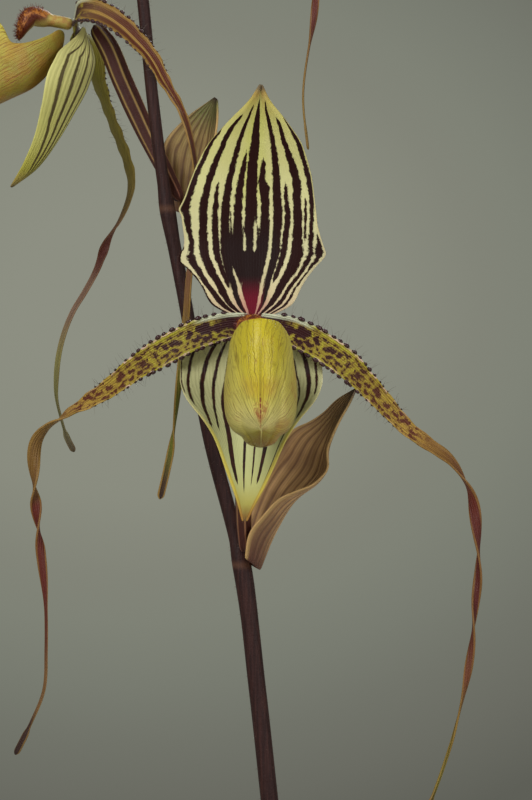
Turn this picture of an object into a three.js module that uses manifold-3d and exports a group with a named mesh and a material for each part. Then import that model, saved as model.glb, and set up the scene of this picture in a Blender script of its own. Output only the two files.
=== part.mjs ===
// A slipper orchid in flower, in its clay pot: a fan of strap leaves and one leaning scape
// with three blooms. Millimetres, +Z up. The origin is the centre of the pot's foot.
// Every bloom is drawn in a frame of its own, where "right" and "up" are the viewer's
// and "forward" is towards the viewer, and is then turned and placed as a group.
import * as THREE from 'three';
import { mergeVertices } from 'three/addons/utils/BufferGeometryUtils.js';
import Module from 'manifold-3d';

const wasm = await Module();
wasm.setup();

// Pot
const POT_HEIGHT = 135;
const POT_FOOT_RADIUS = 52.5;
const POT_RIM_RADIUS = 75;
const RIM_BAND_HEIGHT = 30;
const POT_WALL = 6;
const POT_FLOOR = 7;
const POT_SIDES = 36;
const DRAIN_RADIUS = 5;
const DRAIN_DISTANCE = 28;
const FOOT_GROOVE_WIDTH = 10;
const FOOT_GROOVE_DEPTH = 2.5;
const FOOT_DISC_RADIUS = 18;

// Growing medium and what it holds
const BARK_LEVEL = 113;
const CHIP_COUNT = 30;
const CROWN_LEVEL = 104;
const CROWN_LENGTH = 41;
const CROWN_WIDTH = 37;
const ROOT_RADIUS = 2.3;
const GAP = 0.35;
const ROOT_CLEARANCE = 0.7;

// Leaves, counted from the innermost to the outermost
const FAN_TURN = -20;
const LEAF_THICKNESS = 0.9;
const SHEATH_PITCH = 1.75;
const LEAVES = [
  { side: 1, length: 245, width: 42, launch: 58, end: 4, sway: 6 },
  { side: -1, length: 285, width: 45, launch: 50, end: -12, sway: -9 },
  { side: 1, length: 318, width: 47, launch: 42, end: -22, sway: -12 },
  { side: -1, length: 330, width: 48, launch: 38, end: -26, sway: 14 },
  { side: 1, length: 326, width: 47, launch: 31, end: -32, sway: 22 },
  { side: -1, length: 310, width: 45, launch: 26, end: -38, sway: -20 },
  { side: 1, length: 284, width: 43, launch: 21, end: -42, sway: -30 },
];

// Scape: its middle line, leaning left, and [height, radius], thicker at the node under each bloom
const SCAPE_PATH = [
  [0, 0, CROWN_LEVEL + 0.4], [-0.6, 0, 160], [-3, -0.5, 210], [-7.6, -1.4, 264], [-14, -1.8, 323],
  [-17.4, -1.2, 354], [-22.1, 0, 390.7], [-31.3, 2, 427], [-38.2, 3.6, 465], [-43.6, 5, 493.2],
  [-47.6, 6, 523], [-50.5, 6.9, 552], [-53.5, 8, 577.5],
];
const SCAPE_RADIUS = [[104, 3.1], [370, 2.5], [390, 2.75], [398, 2.1], [480, 1.95], [492, 2.35], [500, 1.8],
  [566, 1.75], [574, 2.1], [577.5, 1.7]];

// Blooms: centre, turn about the vertical, lift of the face and size against the front bloom
const BLOOMS = {
  a: { centre: [-18.2, -35, 460], turn: 0, lift: 0, size: 1 },
  b: { centre: [-69.7, 15, 548.4], turn: -78, lift: 6, size: 0.93 },
  c: { centre: [-57.6, 5, 638.6], turn: 8, lift: 0, size: 0.95 },
};
const SEPAL_THICKNESS = 0.8;
const PETAL_THICKNESS = 0.9;
const POUCH_WALL = 0.8;

// Dorsal sepal: [height, half width], [height, forward]
const DORSAL_HALF_WIDTH = [[-0.6, 4.5], [3, 11.1], [7.6, 13.5], [13, 16.7], [17.3, 18.2], [23, 18.1],
  [30, 17.5], [36.5, 16.6], [45.6, 13.2], [52.4, 7.6], [57.5, 2.5], [59, 1.5], [60.2, 0.8], [61.3, 0.2]];
const DORSAL_FORWARD = [[-0.6, -1.3], [8, -3.2], [22, -6], [36, -5], [48, -1.5], [61.3, 6]];
const DORSAL_MIDDLE = [[-0.6, -0.6], [32, -0.8], [61.3, 1.9]];
// Folds of its two margins: [height, how far they stand out]
const DORSAL_FOLD_LEFT = [[9, 0], [12, 0.6], [13.6, 1.6], [14.6, 2.4], [16, 2], [18.6, 0.5], [20, 0.2],
  [25, 0.9], [27.6, 1.5], [29, 2.4], [30.5, 1.7], [33, 0.8], [38, 0]];
const DORSAL_FOLD_RIGHT = [[11, 0], [13, 0.6], [15.5, 1.8], [16.8, 2.3], [18, 1.9], [21, 0.9], [24.5, 0]];
const DORSAL_ROWS = [-0.6, 3, 6.5, 9.5, 12, 14.6, 17.2, 20, 24.5, 29, 33, 38, 43, 48, 53, 57.5, 61.3];

// Synsepal, which hangs behind the pouch, open in two blooms and folded forward in the third:
// [height, half width], then [height, right] and [height, forward] of its middle, then how far
// its edges lead that
const OPEN_SYNSEPAL = {
  halfWidth: [[-2.2, 6.5], [-7, 16], [-12.7, 19.2], [-17.3, 19.3], [-21.6, 18], [-25, 15.6],
    [-28, 13], [-32.7, 9.9], [-36.7, 8.1], [-41, 6.4], [-45.4, 4.5], [-50, 2.4], [-54.8, 0.5]],
  middle: [[-2.2, -1], [-23.5, -0.7], [-44.8, -1.4], [-54.8, -2.4]],
  forward: [[-2.2, -1.3], [-15, -2.2], [-30, 2], [-43, 9], [-54.8, 17.4]],
  cup: [[-2.2, 0], [-13, 0.2], [-16, 1.8], [-21, 7.5], [-26, 8.5], [-35, 6], [-45, 3], [-54.8, 0.3]],
  nearer: 0,
};
const FOLDED_SYNSEPAL = {
  halfWidth: [[-2.2, 1.8], [-6, 3], [-10, 6], [-14, 9.8], [-18, 12.8], [-23, 13.6], [-28, 12.4],
    [-34, 9.6], [-40, 7], [-46, 4.8], [-50.5, 2.8], [-55, 0.4]],
  middle: [[-2.2, -1.2], [-55, -2.4]],
  forward: [[-2.2, -2], [-5, -3], [-8, -4.8], [-13, -6.4], [-20, -5.2], [-30, -1.3], [-39, 2.8],
    [-47.6, 7.8], [-55, 15.4]],
  cup: [[-2.2, 0.5], [-5, 2.6], [-8, 6.4], [-13, 11.2], [-20, 12.5], [-30, 9.7], [-39, 6.8], [-47.6, 4.4],
    [-55, 0.3]],
  nearer: 0.15,
};

// Pouch: [height, forward] of its back and front, [height, half width], and the height of its
// rim by degrees from the front
const POUCH_FLOOR = -35.2;
const POUCH_BACK = [[-35.2, 30.5], [-33.8, 27.8], [-31.9, 24.8], [-27.7, 18.2], [-23.6, 12], [-18, 7.5],
  [-10, 4.2], [-2, 3.4]];
const POUCH_FRONT = [[-35.2, 31.5], [-34, 34.5], [-31, 38], [-25, 41], [-17, 42.5], [-8, 41.5],
  [-2.4, 38.5]];
const POUCH_HALF_WIDTH = [[-35.2, 0.3], [-34.8, 2.2], [-34.1, 3.7], [-33, 4.6], [-32.2, 5.1], [-31.5, 6.6],
  [-29.4, 8.4], [-26, 9.5], [-22, 9.8], [-19, 9.7], [-14, 9], [-8, 8.2], [-4.6, 7.2], [-2, 6.8]];
const POUCH_RIM = [[0, -1.8], [40, -2.4], [65, -4], [81, -5.6], [90, -8.6], [97, -11.6], [105, -11.4],
  [117, -10], [135, -7], [153, -4.2], [168, -4.6], [180, -6]];
const POUCH_SIDES = 24;
const POUCH_LEVELS = 7;
const POUCH_LEAN = 1.8;
const GROOVE_DEPTH = 0.9;
const GROOVE_TURN = degrees(32);

// Petals: middle line as [right, forward, up], half turns as [distance, degrees], and the
// distance at which the tail grows slim
const PETALS = {
  a_left: {
    line: [[-1.6, 1.1, -2.6], [-7.8, 1.8, -3.2], [-15.6, 2, -5.5], [-23.5, 1, -9.4], [-31.6, -2, -14.1],
      [-39.9, -6, -20.1], [-48.1, -10, -24.9], [-53.4, -11, -28.1], [-57.1, -12, -30.5],
      [-59.6, -12, -33.5], [-60.6, -12, -36.8], [-60.6, -11.5, -43.6], [-60.1, -11, -51.5],
      [-58.8, -10, -63.2], [-57.2, -9, -77.5], [-56.9, -8, -91.4], [-57.4, -7, -102.2],
      [-61, -6, -111.4], [-65.2, -6, -119.8]],
    twist: [[0, 0], [36, 12], [50, 30], [57, 60], [62, 90], [75, 180], [83.4, 270], [88.6, 360],
      [95, 450], [103, 540], [150, 570]],
    slim: 104,
  },
  a_right: {
    line: [[1.4, 1.1, -2.6], [9.7, 2, -4.3], [14, 2, -6.3], [18.3, 1.5, -8.7], [24.8, 0, -13.3],
      [29.8, -3, -18.1], [34.6, -6, -23.1], [42.3, -9.5, -31.1], [50, -11.5, -36.6], [53.9, -12.2, -39.5],
      [57.5, -12.5, -44.4], [59.8, -12, -49.2], [61.2, -11, -59.2], [61.5, -10, -69.8],
      [60.5, -9, -79.7], [59.6, -8, -89.7], [57.7, -7.5, -100.9], [54.6, -7, -113.8],
      [51.2, -6, -124.4], [48.3, -6, -132.1], [45.5, -6, -138.9]],
    twist: [[0, 0], [45, 14], [64, 35], [70, 55], [75.5, 90], [85.5, 180], [96, 270], [106, 360],
      [116, 450], [127, 540], [140.5, 630], [151, 720], [165, 765]],
    slim: 126,
  },
  b_left: {
    line: [[-1.6, 1.1, -2.4], [-5.4, 0.6, -3], [-8.8, -1.8, -4.6], [-13.2, -6.1, -8.8],
      [-19, -10.5, -16.5], [-24.6, -16.5, -26.6], [-28.3, -20.5, -32.6], [-31.5, -23.8, -38],
      [-35, -26.5, -44.3], [-37.8, -26.8, -49.7], [-41.6, -24.9, -57.7], [-44, -22.1, -64],
      [-45.8, -19.7, -74.4], [-47.2, -16.7, -82.1], [-48, -13.5, -89], [-48.1, -11.3, -96.5],
      [-48, -10.2, -104.1], [-47.6, -10.1, -111.3], [-47.1, -10.8, -118.7], [-46.2, -13.1, -125.7],
      [-44.7, -15.3, -131.2], [-43.1, -18.2, -136]],
    twist: [[0, 0], [8, 14], [15, 60], [24, 116], [36, 124], [52, 112], [60, 113], [66, 134], [75, 152],
      [80, 170], [84, 195], [88, 240], [92, 295], [100, 310], [135, 304], [150, 280], [165, 270]],
    slim: 132,
  },
  b_right: {
    line: [[1.4, 1.1, -2.4], [6.4, 1.6, 0.2], [10.4, 0.8, 1], [14, -2.6, 0.6], [17.8, -6.4, -1.2],
      [21.8, -10.9, -4.4], [25.3, -15.3, -8.6], [28.6, -19.6, -13.4], [32.7, -24.4, -21.6],
      [37.5, -30.1, -31.2], [41.5, -34.6, -46.5], [42, -36.2, -61.1], [41.1, -36.4, -80],
      [39.9, -37, -92.5], [38.3, -37.1, -112.7], [37.6, -37.2, -122.3], [36.8, -37.1, -130.9],
      [36.6, -36.6, -136.9], [36.1, -35.4, -146.8]],
    twist: [[0, 0], [12, 14], [26, 44], [38, 50], [50, 61], [62, 77], [72, 89], [82, 96], [95, 118],
      [110, 160], [125, 175], [145, 235], [160, 298], [169, 388], [181, 400]],
    slim: 200,
  },
  c_left: {
    line: [[-1.6, 1.1, -2.6], [-8.5, 1.6, -4.6], [-15.5, 1.8, -7.6], [-24, 0.6, -12.6], [-33, -2.6, -18.6],
      [-43, -6.6, -26], [-52, -9.6, -34.4], [-57, -10.6, -42.6], [-59.4, -10, -54], [-59, -8.4, -72],
      [-56.6, -7, -93], [-56.8, -6, -112], [-60.6, -5.6, -130]],
    twist: [[0, 0], [42, 12], [56, 45], [68, 90], [90, 270], [110, 450], [132, 600]],
    slim: 116,
  },
  c_right: {
    line: [[1.4, 1.1, -2.6], [8.5, 1.6, -4.5], [15.5, 1.8, -7.2], [23, 0.8, -11.6], [32, -2, -17.6],
      [42, -6, -25.4], [52, -9.4, -34.6], [58.6, -10.6, -44], [62, -9.6, -57], [62.6, -6.6, -74],
      [61, -4, -92], [57.2, -2.6, -118], [58.7, -2.4, -135.2]],
    twist: [[0, 0], [42, 14], [58, 50], [70, 90], [92, 270], [112, 450], [134, 610]],
    slim: 124,
  },
};
const PETAL_WIDTH = [[0, 6.2], [6, 7.1], [13, 7.8], [25, 7.8], [32, 6.8], [40, 6], [50, 4.9], [60, 4.2],
  [72, 3.8], [84, 3.4], [96, 2.9], [110, 2.5], [130, 2.3], [170, 2.2]];
const SLIM_WIDTH = 0.9;
const WART_PITCH = 6.2;
const WART_SIZE = 0.45;
const WARTY_LENGTH = 56;
const CLUB_LENGTH = 8;
const CLUB_WIDTH = 2;

// Column with its staminode, a hood hooked down into the pouch's mouth: [right, forward, up]
const COLUMN_LINE = [[0, 2.3, -2], [-0.1, 5, -1.8], [-0.3, 8.7, -1.6], [-0.5, 12, -1.2],
  [-0.6, 14.8, -1.2], [-0.6, 16.6, -3.8], [-0.6, 17.6, -7], [-0.6, 18, -9.2]];
const COLUMN_HALF_WIDTH = [[0, 2.4], [0.3, 2.3], [0.42, 3], [0.6, 4], [0.8, 3.8], [1, 1.6]];
const COLUMN_HALF_HEIGHT = [[0, 1.9], [0.3, 1.9], [0.42, 2.7], [0.58, 3], [0.75, 2.4], [0.88, 1.5],
  [1, 0.6]];
// How far its end hangs lower in each bloom, and where along it that comes in
const COLUMN_DROP = { a: 2.4, b: 0, c: 2.4 };
const COLUMN_DROP_START = 4;
const COLUMN_DROP_REACH = 6;

// Ovaries, from the axil of the bract to the back of the bloom, in the plant's own frame
const OVARIES = {
  a: [[-20.8, -5, 393.6], [-21.3, -10, 404], [-20.8, -16, 420], [-19.6, -21.6, 436], [-18.5, -26, 450],
    [-18.2, -28.6, 456.4], [-18.2, -31, 458.4]],
  b: [[-39.8, 9.6, 494.6], [-43.5, 12, 502], [-50, 14, 515], [-56.8, 15.4, 530], [-61.2, 16, 540.4],
    [-65.5, 15.9, 546.9]],
  c: [[-54, 8, 579.4], [-55, 9.8, 595], [-56.3, 12, 613], [-57.5, 12.8, 627], [-57.9, 11.2, 634.6],
    [-58.1, 8.8, 637.2]],
};
const OVARY_RADIUS = [[0, 1.8], [0.25, 2.3], [0.6, 2.8], [0.85, 2.9], [1, 2.1]];

// Bracts: keel and both edges from the node to the tip, in the plant's own frame
const BRACTS = {
  a: {
    keel: [[-16.8, -2, 388.5], [-12.6, -1, 398.6], [-7, -1, 408.4], [-0.6, -1.6, 415.9], [1, -0.5, 421.3],
      [3.3, -1, 427.3], [6.1, -1.8, 433], [10.6, -2.8, 440.2]],
    far: [[-22, 4.9, 391], [-22.4, 5, 402], [-19, 4.8, 412], [-13.4, 3.6, 421.5], [-7.3, 2, 428.7],
      [-2.7, 1.2, 430.8], [1.6, 0.5, 433.7], [5, -0.5, 437.1], [10.6, -2.6, 440.4]],
    near: [[-21, -8.9, 392.3], [-19.6, -11.6, 400], [-15.6, -12.2, 405], [-11.4, -12, 409.3],
      [-6, -11, 411.7], [-2.2, -10, 413], [0.6, -9, 415.2], [2.5, -8.2, 417.8], [2.1, -7, 422.6],
      [3.4, -6, 426], [5.8, -5, 431], [8.9, -4, 436.4], [10.5, -3.2, 440]],
  },
  b: {
    keel: [[-36.4, 9.8, 490.4], [-34.4, 13.6, 499], [-32.8, 17.4, 508], [-31.4, 21.2, 517.4],
      [-29.8, 25, 526.7]],
    far: [[-42.6, 15.6, 492.6], [-45.6, 18, 503], [-45.2, 20.4, 512.4], [-39.4, 22.8, 520],
      [-30.2, 25.2, 527]],
    near: [[-37.2, 4.8, 492], [-34, 8.4, 500.6], [-31, 13.4, 509.6], [-29.4, 18.8, 518.4],
      [-29.4, 24.6, 526.4]],
  },
  c: {
    keel: [[-48.6, 7, 571.6], [-47.4, 6.6, 582], [-46.4, 6.6, 592], [-44.4, 6.6, 601.4],
      [-41.4, 6.6, 610]],
    far: [[-53, 12.6, 573.6], [-53.6, 14.2, 584], [-51.6, 14, 594], [-47.2, 11, 602.6],
      [-41.6, 7, 610.4]],
    near: [[-53, 3.2, 573.6], [-53, 2.2, 584], [-51, 2.4, 594], [-46.6, 4, 602.4],
      [-41.6, 6.2, 610.2]],
  },
};
const BRACT_THICKNESS = 0.7;

const materials = {
  clay: paint(0xa9603f, 0.9),
  bark: paint(0x5b3a24, 0.95),
  root: paint(0x7b6148, 0.9),
  scape: paint(0x34181c, 0.7),
  leaf: paint(0x35562a, 0.4),
  bract: paint(0x7d5b35, 0.7),
  ovary: paint(0x5a3426, 0.6),
  sepal: paint(0xc2c184, 0.5),
  petal: paint(0x8f7a34, 0.5),
  pouch: paint(0xc0b552, 0.35),
  column: paint(0xb89f5a, 0.5),
};

function paint(color, roughness) {
  return new THREE.MeshStandardMaterial({ color, roughness, metalness: 0 });
}

// A random draw that is the same on every run
function seeded(seed) {
  let state = seed;
  return () => {
    state = (state * 16807) % 2147483647;
    return state / 2147483647;
  };
}

function clamp01(value) {
  return Math.min(1, Math.max(0, value));
}

function ease(value) {
  const x = clamp01(value);
  return x * x * (3 - 2 * x);
}

function mix(a, b, share) {
  return a + (b - a) * share;
}

function degrees(angle) {
  return THREE.MathUtils.degToRad(angle);
}

function evenly(count) {
  return Array.from({ length: count + 1 }, (_, index) => index / count);
}

// A smooth function through [input, output] pairs that never overshoots them
function graph(pairs) {
  const points = [...pairs].sort((p, q) => p[0] - q[0]);
  const last = points.length - 1;
  const slopes = points.slice(1).map((p, k) => (p[1] - points[k][1]) / (p[0] - points[k][0]));
  const tangents = points.map((_, k) => {
    if (k === 0) return slopes[0];
    if (k === last) return slopes[last - 1];
    if (slopes[k - 1] * slopes[k] <= 0) return 0;
    return 2 * slopes[k - 1] * slopes[k] / (slopes[k - 1] + slopes[k]);
  });
  return (input) => {
    const x = Math.min(points[last][0], Math.max(points[0][0], input));
    let k = 0;
    while (k < last - 1 && x > points[k + 1][0]) k += 1;
    const span = points[k + 1][0] - points[k][0];
    const t = (x - points[k][0]) / span;
    const blend = t * t * (3 - 2 * t);
    return mix(points[k][1], points[k + 1][1], blend)
      + span * t * (1 - t) * (tangents[k] * (1 - t) - tangents[k + 1] * t);
  };
}

// A point of a bloom's frame: the viewer looks along +y
function inBloom(right, forward, up) {
  return new THREE.Vector3(right, -forward, up);
}

function curveThrough(points) {
  return new THREE.CatmullRomCurve3(points.map((p) => new THREE.Vector3(...p)), false, 'centripetal');
}

function closedBody(positions, triangles) {
  const geometry = new THREE.BufferGeometry();
  geometry.setAttribute('position', new THREE.Float32BufferAttribute(positions, 3));
  geometry.setIndex(triangles);
  geometry.computeVertexNormals();
  return geometry;
}

function toSolid(geometry) {
  const bare = geometry.clone();
  bare.deleteAttribute('normal');
  bare.deleteAttribute('uv');
  const merged = mergeVertices(bare, 1e-4);
  return new wasm.Manifold(new wasm.Mesh({
    numProp: 3,
    vertProperties: new Float32Array(merged.attributes.position.array),
    triVerts: new Uint32Array(merged.index.array),
  }));
}

// The outer shell of a solid alone: hollows that joining has sealed are filled, scraps dropped
function outerShell(solid) {
  const shells = Array.from(solid.decompose());
  return shells.sort((one, other) => other.volume() - one.volume())[0];
}

function fromSolid(solid) {
  const mesh = solid.getMesh();
  return closedBody(Array.from(mesh.vertProperties), Array.from(mesh.triVerts));
}

// A thin sheet from a grid of middle points, with the same triangles on both faces
function sheet(grid, thickness) {
  const rows = grid.length;
  const columns = grid[0].length;
  const positions = [];
  const triangles = [];
  for (const face of [0.5, -0.5]) {
    for (let i = 0; i < rows; i += 1) {
      for (let j = 0; j < columns; j += 1) {
        const along = grid[Math.min(i + 1, rows - 1)][j].clone().sub(grid[Math.max(i - 1, 0)][j]);
        const across = grid[i][Math.min(j + 1, columns - 1)].clone().sub(grid[i][Math.max(j - 1, 0)]);
        const normal = along.cross(across).normalize();
        const point = grid[i][j].clone().addScaledVector(normal, face * thickness);
        positions.push(point.x, point.y, point.z);
      }
    }
  }
  const top = (i, j) => i * columns + j;
  const bottom = (i, j) => rows * columns + i * columns + j;
  for (let i = 0; i < rows - 1; i += 1) {
    for (let j = 0; j < columns - 1; j += 1) {
      triangles.push(top(i, j), top(i + 1, j), top(i + 1, j + 1));
      triangles.push(top(i, j), top(i + 1, j + 1), top(i, j + 1));
      triangles.push(bottom(i, j), bottom(i + 1, j + 1), bottom(i + 1, j));
      triangles.push(bottom(i, j), bottom(i, j + 1), bottom(i + 1, j + 1));
    }
  }
  const border = [];
  for (let i = 0; i < rows - 1; i += 1) border.push([i, 0]);
  for (let j = 0; j < columns - 1; j += 1) border.push([rows - 1, j]);
  for (let i = rows - 1; i > 0; i -= 1) border.push([i, columns - 1]);
  for (let j = columns - 1; j > 0; j -= 1) border.push([0, j]);
  border.forEach((here, index) => {
    const next = border[(index + 1) % border.length];
    triangles.push(bottom(...here), bottom(...next), top(...next));
    triangles.push(bottom(...here), top(...next), top(...here));
  });
  return closedBody(positions, triangles);
}

// A closed body from rings of points, each end closed by its own middle
function loft(rings) {
  const sides = rings[0].length;
  const positions = [];
  const triangles = [];
  rings.flat().forEach((p) => positions.push(p.x, p.y, p.z));
  for (let i = 0; i < rings.length - 1; i += 1) {
    for (let j = 0; j < sides; j += 1) {
      const a = i * sides + j;
      const b = i * sides + (j + 1) % sides;
      triangles.push(a, b, b + sides, a, b + sides, a + sides);
    }
  }
  [0, rings.length - 1].forEach((ringIndex, end) => {
    const middle = new THREE.Vector3();
    rings[ringIndex].forEach((p) => middle.addScaledVector(p, 1 / sides));
    const centre = positions.length / 3;
    positions.push(middle.x, middle.y, middle.z);
    for (let j = 0; j < sides; j += 1) {
      const a = ringIndex * sides + j;
      const b = ringIndex * sides + (j + 1) % sides;
      triangles.push(...(end === 0 ? [centre, b, a] : [centre, a, b]));
    }
  });
  return closedBody(positions, triangles);
}

// A rod along a curve; radius(share, corner) is its half thickness there
function rod(curve, steps, sides, radius) {
  const frames = curve.computeFrenetFrames(steps, false);
  const rings = evenly(steps).map((share, i) => {
    const centre = curve.getPointAt(share);
    return Array.from({ length: sides }, (_, j) => {
      const angle = 2 * Math.PI * j / sides;
      const reach = radius(share, j);
      return centre.clone()
        .addScaledVector(frames.normals[i], Math.cos(angle) * reach)
        .addScaledVector(frames.binormals[i], Math.sin(angle) * reach);
    });
  });
  return loft(rings);
}

function named(name, geometry, material) {
  const mesh = new THREE.Mesh(geometry, material);
  mesh.name = name;
  return mesh;
}

// Inner radius of the pot at a height
function potInside(height) {
  const low = POT_FOOT_RADIUS - POT_WALL;
  const high = POT_RIM_RADIUS - POT_WALL - 2.5;
  return mix(low, high, (height - POT_FLOOR) / (POT_HEIGHT - POT_FLOOR));
}

function potGeometry() {
  const bandFoot = POT_HEIGHT - RIM_BAND_HEIGHT;
  const neck = POT_RIM_RADIUS - 7.5;
  const profile = [
    [0, 0], [POT_FOOT_RADIUS - 1.5, 0], [POT_FOOT_RADIUS, 1.5], [neck, bandFoot],
    [POT_RIM_RADIUS - 3, bandFoot], [POT_RIM_RADIUS - 1.6, bandFoot + 2],
    [POT_RIM_RADIUS, POT_HEIGHT - 3], [POT_RIM_RADIUS - 1.5, POT_HEIGHT],
    [potInside(POT_HEIGHT) + 1.5, POT_HEIGHT], [potInside(POT_HEIGHT - 2), POT_HEIGHT - 2],
    [potInside(POT_FLOOR), POT_FLOOR], [0, POT_FLOOR],
  ];
  let pot = toSolid(turned(profile, POT_SIDES));
  for (let k = 0; k < 4; k += 1) {
    const hole = new THREE.CylinderGeometry(DRAIN_RADIUS, DRAIN_RADIUS, 4 * POT_FLOOR, 12);
    hole.rotateX(Math.PI / 2);
    hole.translate(DRAIN_DISTANCE, 0, 0);
    const reach = POT_FOOT_RADIUS + 4 - FOOT_DISC_RADIUS;
    const groove = new THREE.BoxGeometry(reach, FOOT_GROOVE_WIDTH, 2 * FOOT_GROOVE_DEPTH);
    groove.translate(FOOT_DISC_RADIUS + reach / 2, 0, 0);
    for (const cutter of [hole, groove]) {
      cutter.rotateZ(Math.PI / 4 + k * Math.PI / 2);
      pot = pot.subtract(toSolid(cutter));
    }
  }
  return fromSolid(pot);
}

// A body turned round the vertical axis from [radius, height] pairs, outside first from the foot
function turned(profile, sides) {
  const geometry = new THREE.LatheGeometry(profile.map((p) => new THREE.Vector2(...p)), sides);
  geometry.rotateX(Math.PI / 2);
  return geometry;
}

// The short stem at the foot of the leaves, grown by a clearance where the medium is hollowed
function crownBody(clearance) {
  const half = CROWN_LENGTH / 2 + clearance;
  const top = CROWN_LEVEL + (clearance > 0 ? 30 : 0);
  const profile = [[0, 78 - clearance], [half * 0.5, 80 - clearance], [half * 0.86, 90 - clearance],
    [half, 99 - clearance], [half, top], [0, top]];
  const geometry = turned(profile, 16);
  geometry.scale(1, CROWN_WIDTH / CROWN_LENGTH, 1);
  geometry.rotateZ(degrees(FAN_TURN));
  return geometry;
}

// The crown with its roots, which run down and out through the medium
function rootBody(clearance) {
  let body = toSolid(crownBody(clearance));
  const draw = seeded(41);
  for (let k = 0; k < 6; k += 1) {
    const around = degrees(60 * k + 16 * draw());
    const depth = mix(18, 58, draw());
    const out = potInside(depth) - 7;
    const place = (reach, turn, height) => [
      reach * Math.cos(around + turn), reach * Math.sin(around + turn), height];
    const curve = curveThrough([
      place(6, 0, 90), place(20, 0.1, 84), place(mix(20, out, 0.5), 0.35, mix(78, depth, 0.45)),
      place(out, 0.7, depth + 6), place(out - 6, 1.15 + 0.03 * clearance, depth),
    ]);
    const thin = (share) => ROOT_RADIUS * (1 - 0.35 * share) + clearance;
    body = body.add(toSolid(rod(curve, 8, 6, thin)));
  }
  return body;
}

// The filling of bark, its loose top raised by chips that are grown together with it
function barkGeometry() {
  const foot = POT_FLOOR + GAP;
  const profile = [[0, foot], [potInside(foot) - GAP, foot], [potInside(BARK_LEVEL) - GAP, BARK_LEVEL],
    [0, BARK_LEVEL]];
  let bark = toSolid(turned(profile, POT_SIDES));
  const draw = seeded(7);
  for (let k = 0; k < CHIP_COUNT; k += 1) {
    const chip = new THREE.BoxGeometry(mix(12, 21, draw()), mix(8, 13, draw()), mix(4, 7, draw()));
    chip.rotateX(mix(-0.35, 0.35, draw()));
    chip.rotateY(mix(-0.3, 0.3, draw()));
    chip.rotateZ(Math.PI * draw());
    const reach = mix(20, potInside(BARK_LEVEL) - 12.5, Math.sqrt((k + 0.5) / CHIP_COUNT));
    const around = k * 2.39996;
    chip.translate(reach * Math.cos(around), reach * Math.sin(around), BARK_LEVEL + mix(0, 1.6, draw()));
    bark = bark.add(toSolid(chip));
  }
  return fromSolid(outerShell(outerShell(bark).subtract(rootBody(ROOT_CLEARANCE))));
}

// Height above the crown where a leaf parts from the others
function partingHeight(index) {
  return 14 + 8.5 * (LEAVES.length - 1 - index);
}

// A leaf: its base is a trough that clasps the leaves inside it, and opens into a keeled blade
function leafGeometry(index) {
  const { side, length, width, launch, end, sway } = LEAVES[index];
  const sheathRadius = 4.4 + SHEATH_PITCH * (index + 1);
  const keelReach = 5.4 + SHEATH_PITCH * (index + 1);
  const parting = partingHeight(index);
  const sheathHalfWidth = sheathRadius * Math.PI / 2 + 3.6;
  const stations = [0, 0.35, 0.7, 1].map((share) => share * parting)
    .concat(evenly(12).slice(1).map((share) => parting + (length - parting) * share ** 1.15));
  const heading = (distance) => {
    const share = clamp01((distance - parting) / (length - parting));
    return degrees(90 - (90 - launch) * ease(share / 0.3) - (launch - end) * share ** 1.4);
  };
  const halfWidthAt = (distance) => {
    const share = clamp01((distance - parting) / (length - parting));
    const open = mix(sheathHalfWidth, width / 2, ease((share - 0.05) / 0.3));
    return open * Math.sqrt(1 - 0.985 * clamp01((share - 0.55) / 0.45) ** 2.4);
  };
  const grid = [];
  let travelled = 0;
  let out = keelReach;
  let height = CROWN_LEVEL + GAP;
  stations.forEach((distance) => {
    while (travelled < distance - 1e-9) {
      const stride = Math.min(1, distance - travelled);
      const angle = heading(travelled + stride / 2);
      out += Math.cos(angle) * stride;
      height += Math.sin(angle) * stride;
      travelled += stride;
    }
    const angle = heading(distance);
    const share = clamp01((distance - parting) / (length - parting));
    const opened = ease((share - 0.05) / 0.3);
    const bend = mix(90, 20, opened);
    const keelRound = mix(sheathRadius, 4, opened);
    const drift = sway * Math.max(0, share - 0.12) ** 1.6;
    grid.push([-1, -0.68, -0.34, 0, 0.34, 0.68, 1].map((across) => {
      const reach = Math.abs(across) * halfWidthAt(distance);
      const curved = Math.min(reach, keelRound * degrees(bend));
      const turn = curved / keelRound;
      const straight = reach - curved;
      const sideways = keelRound * Math.sin(turn) + straight * Math.cos(degrees(bend));
      const rise = keelRound * (1 - Math.cos(turn)) + straight * Math.sin(degrees(bend));
      return new THREE.Vector3(
        side * (out - Math.sin(angle) * rise),
        Math.sign(across) * sideways + drift,
        height + Math.cos(angle) * rise,
      );
    }));
  });
  if (side < 0) grid.forEach((row) => row.reverse());
  return sheet(grid, LEAF_THICKNESS);
}

function scapeGeometry() {
  const curve = curveThrough(SCAPE_PATH);
  const radius = graph(SCAPE_RADIUS);
  return rod(curve, 31, 10, (share) => radius(curve.getPointAt(share).z));
}

function bractGeometry({ keel, far, near }) {
  const lines = [far, keel, near].map(curveThrough);
  const grid = evenly(10).map((share) => {
    const [back, middle, front] = lines.map((line) => line.getPointAt(share));
    const between = back.clone().add(front).multiplyScalar(0.5);
    return [-1, -0.66, -0.33, 0, 0.33, 0.66, 1].map((across) => {
      const edge = across < 0 ? back : front;
      const wing = Math.abs(across);
      const hollow = 0.16 * Math.sin(Math.PI * wing);
      return middle.clone().lerp(edge, wing).addScaledVector(between.clone().sub(middle), -hollow);
    });
  });
  return sheet(grid, BRACT_THICKNESS);
}

function ovaryGeometry(points) {
  const thickness = graph(OVARY_RADIUS);
  return rod(curveThrough(points), 9, 12, (share, corner) => thickness(share) * (corner % 2 ? 0.88 : 1.06));
}

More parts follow.
